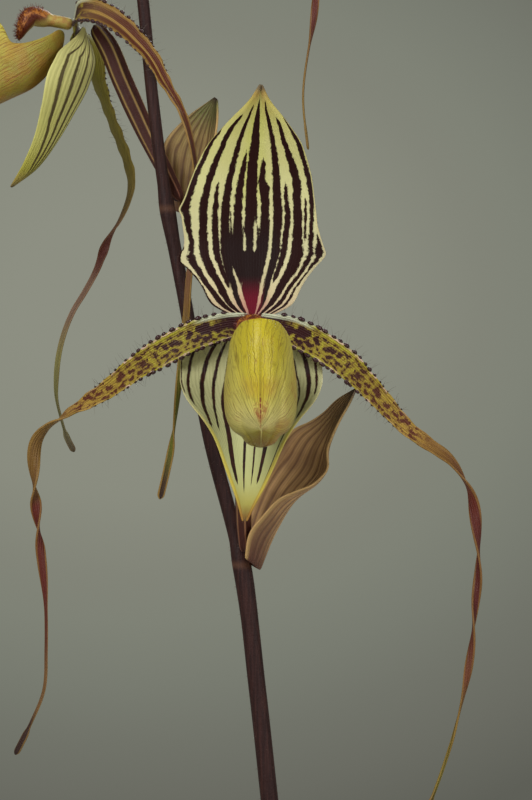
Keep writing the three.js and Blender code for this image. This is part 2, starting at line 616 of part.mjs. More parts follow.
function dorsalGeometry() {
  const halfWidth = graph(DORSAL_HALF_WIDTH);
  const forward = graph(DORSAL_FORWARD);
  const middle = graph(DORSAL_MIDDLE);
  const folds = [graph(DORSAL_FOLD_LEFT), graph(DORSAL_FOLD_RIGHT)];
  const grid = DORSAL_ROWS.map((height) => (
    [-1, -0.78, -0.52, -0.26, 0, 0.26, 0.52, 0.78, 1].map((across) => {
      const wing = Math.abs(across);
      const fold = folds[across < 0 ? 0 : 1](height) * ease((wing - 0.75) / 0.25);
      const wave = Math.sin(height / 4.4 + (across < 0 ? 0.6 : 2.4));
      const bulk = clamp01(height / 12);
      const depth = bulk * (2.2 * wing ** 2 - 2.6 * wing ** 5 + 1.1 * wing ** 3 * wave) - 0.7 * fold;
      const reach = across * halfWidth(height) + Math.sign(across) * fold;
      return inBloom(middle(height) + reach, forward(height) + depth, height);
    })
  ));
  return sheet(grid, SEPAL_THICKNESS);
}

function synsepalGeometry(form) {
  const halfWidth = graph(form.halfWidth);
  const middle = graph(form.middle);
  const forward = graph(form.forward);
  const cup = graph(form.cup);
  const high = form.halfWidth[0][0];
  const low = form.halfWidth.at(-1)[0];
  const grid = evenly(12).map((share) => {
    const height = mix(high, low, share);
    return [-1, -0.75, -0.5, -0.25, 0, 0.25, 0.5, 0.75, 1].map((across) => inBloom(
      middle(height) + across * halfWidth(height),
      forward(height) + cup(height) * (1 + form.nearer * Math.sign(across)) * Math.abs(across) ** 2.2,
      height,
    ));
  });
  return sheet(grid, SEPAL_THICKNESS);
}

// A petal: a broad warty ribbon that narrows to a twisted tail with a small club
function petalGeometry({ line, twist, slim }, mirror) {
  const curve = curveThrough(line.map(([right, forward, up]) => [right, -forward, up]));
  const length = curve.getLength();
  const turn = graph(twist);
  const common = graph(PETAL_WIDTH);
  const width = (distance) => mix(common(distance), SLIM_WIDTH, ease((distance - slim) / 14));
  const half = WART_PITCH / 2;
  const warty = Math.round(WARTY_LENGTH / half);
  const tailStart = warty * half;
  const tailEnd = length - CLUB_LENGTH - 2;
  const stations = Array.from({ length: warty }, (_, k) => k * half)
    .concat(evenly(17).map((share) => mix(tailStart, tailEnd, share)))
    .concat([length - CLUB_LENGTH, length - CLUB_LENGTH / 2, length - 0.8, length]);
  const face = new THREE.Vector3(0, -1, 0);
  let previous = curve.getTangentAt(0);
  const grid = stations.map((distance, index) => {
    const share = distance / length;
    const tangent = curve.getTangentAt(share);
    face.applyQuaternion(new THREE.Quaternion().setFromUnitVectors(previous, tangent));
    face.addScaledVector(tangent, -face.dot(tangent)).normalize();
    previous = tangent;
    const spun = face.clone().applyAxisAngle(tangent, mirror * degrees(turn(distance)));
    const across = spun.clone().cross(tangent).normalize();
    const wart = index < warty && index % 2 ? WART_SIZE : 0;
    const club = distance > tailEnd + 1 && distance < length ? CLUB_WIDTH : 0;
    const reach = Math.max(club, width(distance)) / 2 + wart;
    const dished = 0.07 * width(distance);
    const centre = curve.getPointAt(share);
    return [-1, 0, 1].map((edge) => centre.clone()
      .addScaledVector(across, edge * reach)
      .addScaledVector(spun, (edge === 0 ? -1 : 1) * dished + (edge === 0 ? 0 : 0.5 * wart)));
  });
  return sheet(grid, PETAL_THICKNESS);
}

function pouchPoint(turn, drop, inset) {
  const rim = graph(POUCH_RIM)(THREE.MathUtils.radToDeg(Math.abs(turn)));
  const height = mix(rim, POUCH_FLOOR, Math.sin(drop * Math.PI / 2));
  const toe = graph(POUCH_FRONT)(height);
  const heel = graph(POUCH_BACK)(height);
  const groove = Math.exp(-(((Math.abs(turn) - GROOVE_TURN) / 0.12) ** 2)) * ease((-10 - height) / 10);
  const reach = (toe - heel) / 2 - inset - GROOVE_DEPTH * groove;
  const half = graph(POUCH_HALF_WIDTH)(height) - inset;
  const narrow = 0.97 + 0.03 * Math.cos(turn);
  const forward = (toe + heel) / 2 + Math.max(0.2, reach) * Math.cos(turn);
  return inBloom(
    Math.max(0.2, half) * Math.sin(turn) * narrow + POUCH_LEAN * ease(forward / 20),
    forward,
    height + inset * drop,
  );
}

// The pouch: an open bag with a thin wall, its rim lowest at the sides
function pouchGeometry() {
  const positions = [];
  const triangles = [];
  const ringStart = [];
  for (const inset of [0, POUCH_WALL]) {
    for (let level = 0; level < POUCH_LEVELS; level += 1) {
      ringStart.push(positions.length / 3);
      for (let k = 0; k < POUCH_SIDES; k += 1) {
        const turn = 2 * Math.PI * (k < POUCH_SIDES / 2 ? k : k - POUCH_SIDES) / POUCH_SIDES;
        const p = pouchPoint(turn, level / POUCH_LEVELS, inset);
        positions.push(p.x, p.y, p.z);
      }
    }
  }
  const band = (upper, lower) => {
    for (let k = 0; k < POUCH_SIDES; k += 1) {
      const next = (k + 1) % POUCH_SIDES;
      triangles.push(upper + k, lower + k, lower + next, upper + k, lower + next, upper + next);
    }
  };
  for (let level = 0; level < POUCH_LEVELS - 1; level += 1) {
    band(ringStart[level], ringStart[level + 1]);
    band(ringStart[POUCH_LEVELS + level + 1], ringStart[POUCH_LEVELS + level]);
  }
  band(ringStart[POUCH_LEVELS], ringStart[0]);
  [0, POUCH_WALL].forEach((inset, inner) => {
    const lowest = positions.length / 3;
    const foot = pouchPoint(Math.PI / 2, 1, inset);
    positions.push(POUCH_LEAN, foot.y, foot.z);
    const ring = ringStart[inner * POUCH_LEVELS + POUCH_LEVELS - 1];
    for (let k = 0; k < POUCH_SIDES; k += 1) {
      const next = (k + 1) % POUCH_SIDES;
      triangles.push(...(inner ? [lowest, ring + k, ring + next] : [lowest, ring + next, ring + k]));
    }
  });
  return closedBody(positions, triangles);
}

// The column, ending in the staminode that bends over the pouch's mouth
function columnGeometry(drop) {
  const curve = curveThrough(COLUMN_LINE.map(([right, forward, up]) => (
    [right, -forward, up - drop * ease((forward - COLUMN_DROP_START) / COLUMN_DROP_REACH)]
  )));
  const halfWidth = graph(COLUMN_HALF_WIDTH);
  const halfHeight = graph(COLUMN_HALF_HEIGHT);
  const right = new THREE.Vector3(1, 0, 0);
  const rings = evenly(8).map((share) => {
    const tangent = curve.getTangentAt(share);
    const up = tangent.clone().cross(right).normalize();
    return evenly(10).slice(1).map((corner) => {
      const angle = 2 * Math.PI * corner;
      return curve.getPointAt(share)
        .addScaledVector(right, Math.cos(angle) * halfWidth(share))
        .addScaledVector(up, Math.sin(angle) * halfHeight(share));
    });
  });
  return loft(rings);
}

function bloom(key) {
  const { centre, turn, lift, size } = BLOOMS[key];
  const synsepal = key === 'b' ? FOLDED_SYNSEPAL : OPEN_SYNSEPAL;
  const pieces = [
    named(`bloom_${key}_dorsal_sepal`, dorsalGeometry(), materials.sepal),
    named(`bloom_${key}_synsepal`, synsepalGeometry(synsepal), materials.sepal),
    named(`bloom_${key}_petal_left`, petalGeometry(PETALS[`${key}_left`], 1), materials.petal),
    named(`bloom_${key}_petal_right`, petalGeometry(PETALS[`${key}_right`], -1), materials.petal),
    named(`bloom_${key}_pouch`, pouchGeometry(), materials.pouch),
    named(`bloom_${key}_column`, columnGeometry(COLUMN_DROP[key]), materials.column),
  ];
  pieces.forEach((piece) => piece.geometry.scale(size, size, size));
  const group = new THREE.Group();
  group.rotation.order = 'ZXY';
  group.rotation.set(degrees(-lift), 0, degrees(turn));
  group.position.set(...centre);
  group.add(...pieces);
  return group;
}

const plant = new THREE.Group();
plant.add(named('pot', potGeometry(), materials.clay));
plant.add(named('bark_mix', barkGeometry(), materials.bark));
plant.add(named('crown_and_roots', fromSolid(rootBody(0)), materials.root));
plant.add(named('scape', scapeGeometry(), materials.scape));

const fan = new THREE.Group();
fan.rotation.z = degrees(FAN_TURN);
LEAVES.forEach((_, index) => {
  fan.add(named(`leaf_${index + 1}`, leafGeometry(index), materials.leaf));
});
plant.add(fan);

for (const key of Object.keys(BLOOMS)) {
  plant.add(named(`bract_${key}`, bractGeometry(BRACTS[key]), materials.bract));
  plant.add(named(`bloom_${key}_ovary`, ovaryGeometry(OVARIES[key]), materials.ovary));
  plant.add(bloom(key));
}

export default plant;
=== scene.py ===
# The looks of a slipper orchid in flower in its clay pot. Shapes are worked out in
# millimetres, from the same values as the part's own drawing, and each mesh is in metres.
import math

import bpy
import numpy as np
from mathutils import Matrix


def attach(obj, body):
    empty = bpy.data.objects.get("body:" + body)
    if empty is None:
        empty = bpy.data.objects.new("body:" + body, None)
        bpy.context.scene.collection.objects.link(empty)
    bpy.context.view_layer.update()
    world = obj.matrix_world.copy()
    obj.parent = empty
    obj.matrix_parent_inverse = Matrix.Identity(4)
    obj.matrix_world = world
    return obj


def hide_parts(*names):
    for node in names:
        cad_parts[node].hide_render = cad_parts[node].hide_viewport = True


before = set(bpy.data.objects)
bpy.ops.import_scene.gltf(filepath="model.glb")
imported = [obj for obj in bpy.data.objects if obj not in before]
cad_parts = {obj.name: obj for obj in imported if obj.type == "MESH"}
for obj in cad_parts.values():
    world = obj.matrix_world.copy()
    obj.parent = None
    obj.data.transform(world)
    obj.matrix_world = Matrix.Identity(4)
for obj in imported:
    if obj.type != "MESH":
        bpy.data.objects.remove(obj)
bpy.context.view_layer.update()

MM = 0.001
LINE_STEPS = 48
CARRIED_STEPS = 500
GOLDEN_ANGLE = 2.39996
MERGE_DISTANCE = 2e-6

# Grids of the pieces: faces along and across, before they are smoothed
LEAF_GRID = (60, 16)
STEM_GRID = (260, 20)
SEED_STALK_GRID = (72, 48)
BRACT_GRID = (36, 24)
HOOD_GRID = (76, 40)
APRON_GRID = (52, 36)
PETAL_GRID = (200, 8)
SLIPPER_GRID = (68, 88)
COLUMN_GRID = (48, 32)

# Seeds of the random draws
BARK_SEED = 7
STEM_SEED = 11
SEED_STALK_SEED = 21
HOOD_SEED = 31
WART_SEED = 51
BRISTLE_SEED = 61

# Hairs: how many, and how far a root is sunk into the flesh
STEM_HAIRS = 1500
SEED_STALK_HAIRS = 500
HOOD_HAIRS = 150
BRISTLES = 520
WART_HAIRS = 2
ROOT_DEPTH = 0.05
HOOD_HAIR_LENGTHS = (0.25, 0.6)
STEM_HAIR_LENGTHS = (0.4, 1.0)
SEED_STALK_HAIR_LENGTHS = (0.3, 0.8)
BRISTLE_LENGTHS = (0.6, 1.7)
BRISTLES_ALONG = (0.48, 0.99)
BRISTLES_AROUND = (0.44, 1.06)
HAIR_JOINTS = ((0.3, 0.8), (0.3, 0.75), (0.25, 0.6), (0.15, 0.08))

# Camera and its place, in metres
CAMERA_PLACE = (-0.015, -0.635, 0.437)
CAMERA_LENS = 100
# Direction of the middle of the painted pool of light on the backdrop
BACKDROP_MIDDLE = (-0.06, 0.995, 0.045)
# Lamps: place, what they are aimed at, width in metres and power in watts
LAMPS = [
    ((-0.75, -1.15, 1.25), (-0.03, 0, 0.46), 0.9, 17),
    ((1.05, -0.95, 0.75), (-0.03, 0, 0.42), 0.9, 8),
    ((0.25, 1.0, 1.35), (-0.03, 0, 0.45), 0.7, 7),
]
FLOOR_RADIUS = 1.7
FLOOR_LEVEL = -0.0004

# Pot and growing medium
POT_HEIGHT = 135
POT_FOOT_RADIUS = 52.5
POT_RIM_RADIUS = 75
RIM_BAND_HEIGHT = 30
POT_WALL = 6
POT_FLOOR = 7
DRAIN_RADIUS = 5
DRAIN_DISTANCE = 28
FOOT_GROOVE_WIDTH = 10
FOOT_GROOVE_DEPTH = 2.5
FOOT_DISC_RADIUS = 18
BARK_LEVEL = 113
CROWN_LEVEL = 104
CROWN_WELL = 21.6
CHIP_COUNT = 430
CHIP_KINDS = 5
CHIP_SIZES = ((8, 17), (5, 10), (2.2, 4.6))
CHIP_HEIGHTS = (-4.5, 1.6)
GAP = 0.35

# Leaves, counted from the innermost to the outermost
FAN_TURN = -20
LEAF_THICKNESS = 0.9
SHEATH_PITCH = 1.75
SHEATH_CORE = 4.4
SHEATH_OVERLAP = 3.6
KEEL_CORE = 5.4
OUTER_PARTING = 14
PARTING_STEP = 8.5
# Side of the fan, length, width, angles at the base and at the tip in degrees, and sideways sway
LEAVES = [
    (1, 245, 42, 58, 4, 6),
    (-1, 285, 45, 50, -12, -9),
    (1, 318, 47, 42, -22, -12),
    (-1, 330, 48, 38, -26, 14),
    (1, 326, 47, 31, -32, 22),
    (-1, 310, 45, 26, -38, -20),
    (1, 284, 43, 21, -42, -30),
]

# Scape: its middle line, and (height, radius), thicker at the node under each bloom
SCAPE_PATH = [(0, 0, CROWN_LEVEL + 0.4), (-0.6, 0, 160), (-3, -0.5, 210), (-7.6, -1.4, 264),
              (-14, -1.8, 323), (-17.4, -1.2, 354), (-22.1, 0, 390.7), (-31.3, 2, 427), (-38.2, 3.6, 465),
              (-43.6, 5, 493.2), (-47.6, 6, 523), (-50.5, 6.9, 552), (-53.5, 8, 577.5)]
SCAPE_RADIUS = [(104, 3.1), (370, 2.5), (390, 2.75), (398, 2.1), (480, 1.95), (492, 2.35), (500, 1.8),
                (566, 1.75), (574, 2.1), (577.5, 1.7)]
SCAPE_KNOBS = (390, 492)

# Blooms: centre, turn about the vertical, lift of the face, and size against the front bloom
BLOOMS = {
    "a": {"centre": (-18.2, -35, 460), "turn": 0, "lift": 0, "size": 1},
    "b": {"centre": (-69.7, 15, 548.4), "turn": -78, "lift": 6, "size": 0.93},
    "c": {"centre": (-57.6, 5, 638.6), "turn": 8, "lift": 0, "size": 0.95},
}
SEPAL_THICKNESS = 0.64
PETAL_THICKNESS = 0.56
POUCH_WALL = 0.8

# Dorsal sepal: (height, half width), (height, forward), (height, right)
DORSAL_HALF_WIDTH = [(-0.6, 4.5), (3, 11.1), (7.6, 13.5), (13, 16.7), (17.3, 18.2), (23, 18.1),
                     (30, 17.5), (36.5, 16.6), (45.6, 13.2), (52.4, 7.6), (57.5, 2.5), (59, 1.5),
                     (60.2, 0.8), (61.3, 0.2)]
DORSAL_FORWARD = [(-0.6, -1.3), (8, -3.2), (22, -6), (36, -5), (48, -1.5), (61.3, 6)]
DORSAL_MIDDLE = [(-0.6, -0.6), (32, -0.8), (61.3, 1.9)]
# Folds of its two margins: (height, how far they stand out)
DORSAL_FOLD_LEFT = [(9, 0), (12, 0.6), (13.6, 1.6), (14.6, 2.4), (16, 2), (18.6, 0.5), (20, 0.2), (25, 0.9),
                    (27.6, 1.5), (29, 2.4), (30.5, 1.7), (33, 0.8), (38, 0)]
DORSAL_FOLD_RIGHT = [(11, 0), (13, 0.6), (15.5, 1.8), (16.8, 2.3), (18, 1.9), (21, 0.9), (24.5, 0)]

# Synsepal, open in two blooms and folded forward in the third
OPEN_SYNSEPAL = {
    "half_width": [(-2.2, 6.5), (-7, 16), (-12.7, 19.2), (-17.3, 19.3), (-21.6, 18), (-25, 15.6), (-28, 13),
                   (-32.7, 9.9), (-36.7, 8.1), (-41, 6.4), (-45.4, 4.5), (-50, 2.4), (-54.8, 0.5)],
    "middle": [(-2.2, -1), (-23.5, -0.7), (-44.8, -1.4), (-54.8, -2.4)],
    "forward": [(-2.2, -1.3), (-15, -2.2), (-30, 2), (-43, 9), (-54.8, 17.4)],
    "cup": [(-2.2, 0), (-13, 0.2), (-16, 1.8), (-21, 7.5), (-26, 8.5), (-35, 6), (-45, 3), (-54.8, 0.3)],
    "nearer": 0,
}
FOLDED_SYNSEPAL = {
    "half_width": [(-2.2, 1.8), (-6, 3), (-10, 6), (-14, 9.8), (-18, 12.8), (-23, 13.6), (-28, 12.4),
                   (-34, 9.6), (-40, 7), (-46, 4.8), (-50.5, 2.8), (-55, 0.4)],
    "middle": [(-2.2, -1.2), (-55, -2.4)],
    "forward": [(-2.2, -2), (-5, -3), (-8, -4.8), (-13, -6.4), (-20, -5.2), (-30, -1.3), (-39, 2.8),
                (-47.6, 7.8), (-55, 15.4)],
    "cup": [(-2.2, 0.5), (-5, 2.6), (-8, 6.4), (-13, 11.2), (-20, 12.5), (-30, 9.7), (-39, 6.8),
            (-47.6, 4.4), (-55, 0.3)],
    "nearer": 0.15,
}

# Pouch: (height, forward) of its back and front, (height, half width), and the height of its
# rim by degrees from the front
POUCH_FLOOR = -35.2
POUCH_BACK = [(-35.2, 30.5), (-33.8, 27.8), (-31.9, 24.8), (-27.7, 18.2), (-23.6, 12), (-18, 7.5),
              (-10, 4.2), (-2, 3.4)]
POUCH_FRONT = [(-35.2, 31.5), (-34, 34.5), (-31, 38), (-25, 41), (-17, 42.5), (-8, 41.5), (-2.4, 38.5)]
POUCH_HALF_WIDTH = [(-35.2, 0.3), (-34.8, 2.2), (-34.1, 3.7), (-33, 4.6), (-32.2, 5.1), (-31.5, 6.6),
                    (-29.4, 8.4), (-26, 9.5), (-22, 9.8), (-19, 9.7), (-14, 9), (-8, 8.2), (-4.6, 7.2),
                    (-2, 6.8)]
POUCH_RIM = [(0, -1.8), (40, -2.4), (65, -4), (81, -5.6), (90, -8.6), (97, -11.6), (105, -11.4), (117, -10),
             (135, -7), (153, -4.2), (168, -4.6), (180, -6)]
POUCH_LEAN = 1.8
GROOVE_DEPTH = 0.9
GROOVE_TURN = math.radians(32)
POUCH_POLE = 31
POUCH_HEEL = (3, -4)
POUCH_TOE = (42, -33)

# Petals: middle line as (right, forward, up), half turns as (distance, degrees), and the
# distance at which the tail grows slim
PETALS = {
    "a_left": {
        "line": [(-1.6, 1.1, -2.6), (-7.8, 1.8, -3.2), (-15.6, 2, -5.5), (-23.5, 1, -9.4),
                 (-31.6, -2, -14.1), (-39.9, -6, -20.1), (-48.1, -10, -24.9), (-53.4, -11, -28.1),
                 (-57.1, -12, -30.5), (-59.6, -12, -33.5), (-60.6, -12, -36.8), (-60.6, -11.5, -43.6),
                 (-60.1, -11, -51.5), (-58.8, -10, -63.2), (-57.2, -9, -77.5), (-56.9, -8, -91.4),
                 (-57.4, -7, -102.2), (-61, -6, -111.4), (-65.2, -6, -119.8)],
        "twist": [(0, 0), (36, 12), (50, 30), (57, 60), (62, 90), (75, 180), (83.4, 270), (88.6, 360),
                  (95, 450), (103, 540), (150, 570)],
        "slim": 104,
    },
    "a_right": {
        "line": [(1.4, 1.1, -2.6), (9.7, 2, -4.3), (14, 2, -6.3), (18.3, 1.5, -8.7), (24.8, 0, -13.3),
                 (29.8, -3, -18.1), (34.6, -6, -23.1), (42.3, -9.5, -31.1), (50, -11.5, -36.6),
                 (53.9, -12.2, -39.5), (57.5, -12.5, -44.4), (59.8, -12, -49.2), (61.2, -11, -59.2),
                 (61.5, -10, -69.8), (60.5, -9, -79.7), (59.6, -8, -89.7), (57.7, -7.5, -100.9),
                 (54.6, -7, -113.8), (51.2, -6, -124.4), (48.3, -6, -132.1), (45.5, -6, -138.9)],
        "twist": [(0, 0), (45, 14), (64, 35), (70, 55), (75.5, 90), (85.5, 180), (96, 270), (106, 360),
                  (116, 450), (127, 540), (140.5, 630), (151, 720), (165, 765)],
        "slim": 126,
    },
    "b_left": {
        "line": [(-1.6, 1.1, -2.4), (-5.4, 0.6, -3), (-8.8, -1.8, -4.6), (-13.2, -6.1, -8.8),
                 (-19, -10.5, -16.5), (-24.6, -16.5, -26.6), (-28.3, -20.5, -32.6), (-31.5, -23.8, -38),
                 (-35, -26.5, -44.3), (-37.8, -26.8, -49.7), (-41.6, -24.9, -57.7), (-44, -22.1, -64),
                 (-45.8, -19.7, -74.4), (-47.2, -16.7, -82.1), (-48, -13.5, -89), (-48.1, -11.3, -96.5),
                 (-48, -10.2, -104.1), (-47.6, -10.1, -111.3), (-47.1, -10.8, -118.7),
                 (-46.2, -13.1, -125.7), (-44.7, -15.3, -131.2), (-43.1, -18.2, -136)],
        "twist": [(0, 0), (8, 14), (15, 60), (24, 116), (36, 124), (52, 112), (60, 113), (66, 134),
                  (75, 152), (80, 170), (84, 195), (88, 240), (92, 295), (100, 310), (135, 304),
                  (150, 280), (165, 270)],
        "slim": 132,
    },
    "b_right": {
        "line": [(1.4, 1.1, -2.4), (6.4, 1.6, 0.2), (10.4, 0.8, 1), (14, -2.6, 0.6), (17.8, -6.4, -1.2),
                 (21.8, -10.9, -4.4), (25.3, -15.3, -8.6), (28.6, -19.6, -13.4), (32.7, -24.4, -21.6),
                 (37.5, -30.1, -31.2), (41.5, -34.6, -46.5), (42, -36.2, -61.1), (41.1, -36.4, -80),
                 (39.9, -37, -92.5), (38.3, -37.1, -112.7), (37.6, -37.2, -122.3), (36.8, -37.1, -130.9),
                 (36.6, -36.6, -136.9), (36.1, -35.4, -146.8)],
        "twist": [(0, 0), (12, 14), (26, 44), (38, 50), (50, 61), (62, 77), (72, 89), (82, 96), (95, 118),
                  (110, 160), (125, 175), (145, 235), (160, 298), (169, 388), (181, 400)],
        "slim": 200,
    },
    "c_left": {
        "line": [(-1.6, 1.1, -2.6), (-8.5, 1.6, -4.6), (-15.5, 1.8, -7.6), (-24, 0.6, -12.6),
                 (-33, -2.6, -18.6), (-43, -6.6, -26), (-52, -9.6, -34.4), (-57, -10.6, -42.6),
                 (-59.4, -10, -54), (-59, -8.4, -72), (-56.6, -7, -93), (-56.8, -6, -112),
                 (-60.6, -5.6, -130)],
        "twist": [(0, 0), (42, 12), (56, 45), (68, 90), (90, 270), (110, 450), (132, 600)],
        "slim": 116,
    },
    "c_right": {
        "line": [(1.4, 1.1, -2.6), (8.5, 1.6, -4.5), (15.5, 1.8, -7.2), (23, 0.8, -11.6), (32, -2, -17.6),
                 (42, -6, -25.4), (52, -9.4, -34.6), (58.6, -10.6, -44), (62, -9.6, -57), (62.6, -6.6, -74),
                 (61, -4, -92), (57.2, -2.6, -118), (58.7, -2.4, -135.2)],
        "twist": [(0, 0), (42, 14), (58, 50), (70, 90), (92, 270), (112, 450), (134, 610)],
        "slim": 124,
    },
}
PETAL_WIDTH = [(0, 6.2), (6, 7.1), (13, 7.8), (25, 7.8), (32, 6.8), (40, 6), (50, 4.9), (60, 4.2),
               (72, 3.8), (84, 3.4), (96, 2.9), (110, 2.5), (130, 2.3), (170, 2.2)]
PETAL_DISH = 0.14
SLIM_WIDTH = 0.85
SLIM_REACH = 14
PETAL_MAP_LENGTH = 200
WART_PITCH = 2.2
WARTS_END = 50
RUFFLES_END = 74
CLUB_LENGTH = 8
CLUB_WIDTH = 2

# Column, ending in the hood that bends over the pouch's mouth: (right, forward, up)
COLUMN_LINE = [(0, 1.6, -2.1), (-0.1, 5, -1.8), (-0.3, 8.7, -1.6), (-0.5, 12, -1.2), (-0.6, 14.8, -1.2),
               (-0.6, 16.6, -3.8), (-0.6, 17.6, -7), (-0.6, 18, -9.2)]
COLUMN_HALF_WIDTH = [(0, 2.4), (0.3, 2.3), (0.42, 3), (0.6, 4), (0.8, 3.8), (1, 1.6)]
COLUMN_HALF_HEIGHT = [(0, 1.9), (0.3, 1.9), (0.42, 2.7), (0.58, 3), (0.75, 2.4), (0.88, 1.5), (1, 0.6)]
COLUMN_DROP = {"a": 2.4, "b": 0, "c": 2.4}
COLUMN_DROP_START = 4
COLUMN_DROP_REACH = 6

# Ovaries, from the axil of the bract to the back of the bloom
OVARIES = {
    "a": [(-20.8, -5, 393.6), (-21.3, -10, 404), (-20.8, -16, 420), (-19.6, -21.6, 436),
          (-18.5, -26, 450), (-18.2, -28.6, 456.4), (-18.2, -31, 458.4)],
    "b": [(-39.8, 9.6, 494.6), (-43.5, 12, 502), (-50, 14, 515), (-56.8, 15.4, 530),
          (-61.2, 16, 540.4), (-65.5, 15.9, 546.9)],
    "c": [(-54, 8, 579.4), (-55, 9.8, 595), (-56.3, 12, 613), (-57.5, 12.8, 627),
          (-57.9, 11.2, 634.6), (-58.1, 8.8, 637.2)],
}
OVARY_RADIUS = [(0, 1.8), (0.25, 2.4), (0.6, 2.95), (0.85, 2.95), (1, 2.1)]
OVARY_RIBS = 6

# Bracts: keel and both edges from the node to the tip
BRACTS = {
    "a": {
        "keel": [(-16.8, -2, 388.5), (-12.6, -1, 398.6), (-7, -1, 408.4), (-0.6, -1.6, 415.9),
                 (1, -0.5, 421.3), (3.3, -1, 427.3), (6.1, -1.8, 433), (10.6, -2.8, 440.2)],
        "far": [(-22, 4.9, 391), (-22.4, 5, 402), (-19, 4.8, 412), (-13.4, 3.6, 421.5), (-7.3, 2, 428.7),
                (-2.7, 1.2, 430.8), (1.6, 0.5, 433.7), (5, -0.5, 437.1), (10.6, -2.6, 440.4)],
        "near": [(-21, -8.9, 392.3), (-19.6, -11.6, 400), (-15.6, -12.2, 405), (-11.4, -12, 409.3),
                 (-6, -11, 411.7), (-2.2, -10, 413), (0.6, -9, 415.2), (2.5, -8.2, 417.8), (2.1, -7, 422.6),
                 (3.4, -6, 426), (5.8, -5, 431), (8.9, -4, 436.4), (10.5, -3.2, 440)],
    },
    "b": {
        "keel": [(-36.4, 9.8, 490.4), (-34.4, 13.6, 499), (-32.8, 17.4, 508), (-31.4, 21.2, 517.4),
                 (-29.8, 25, 526.7)],
        "far": [(-42.6, 15.6, 492.6), (-45.6, 18, 503), (-45.2, 20.4, 512.4), (-39.4, 22.8, 520),
                (-30.2, 25.2, 527)],
        "near": [(-37.2, 4.8, 492), (-34, 8.4, 500.6), (-31, 13.4, 509.6), (-29.4, 18.8, 518.4),
                 (-29.4, 24.6, 526.4)],
    },
    "c": {
        "keel": [(-48.6, 7, 571.6), (-47.4, 6.6, 582), (-46.4, 6.6, 592), (-44.4, 6.6, 601.4),
                 (-41.4, 6.6, 610)],
        "far": [(-53, 12.6, 573.6), (-53.6, 14.2, 584), (-51.6, 14, 594), (-47.2, 11, 602.6),
                (-41.6, 7, 610.4)],
        "near": [(-53, 3.2, 573.6), (-53, 2.2, 584), (-51, 2.4, 594), (-46.6, 4, 602.4),
                 (-41.6, 6.2, 610.2)],
    },
}
BRACT_THICKNESS = 0.7

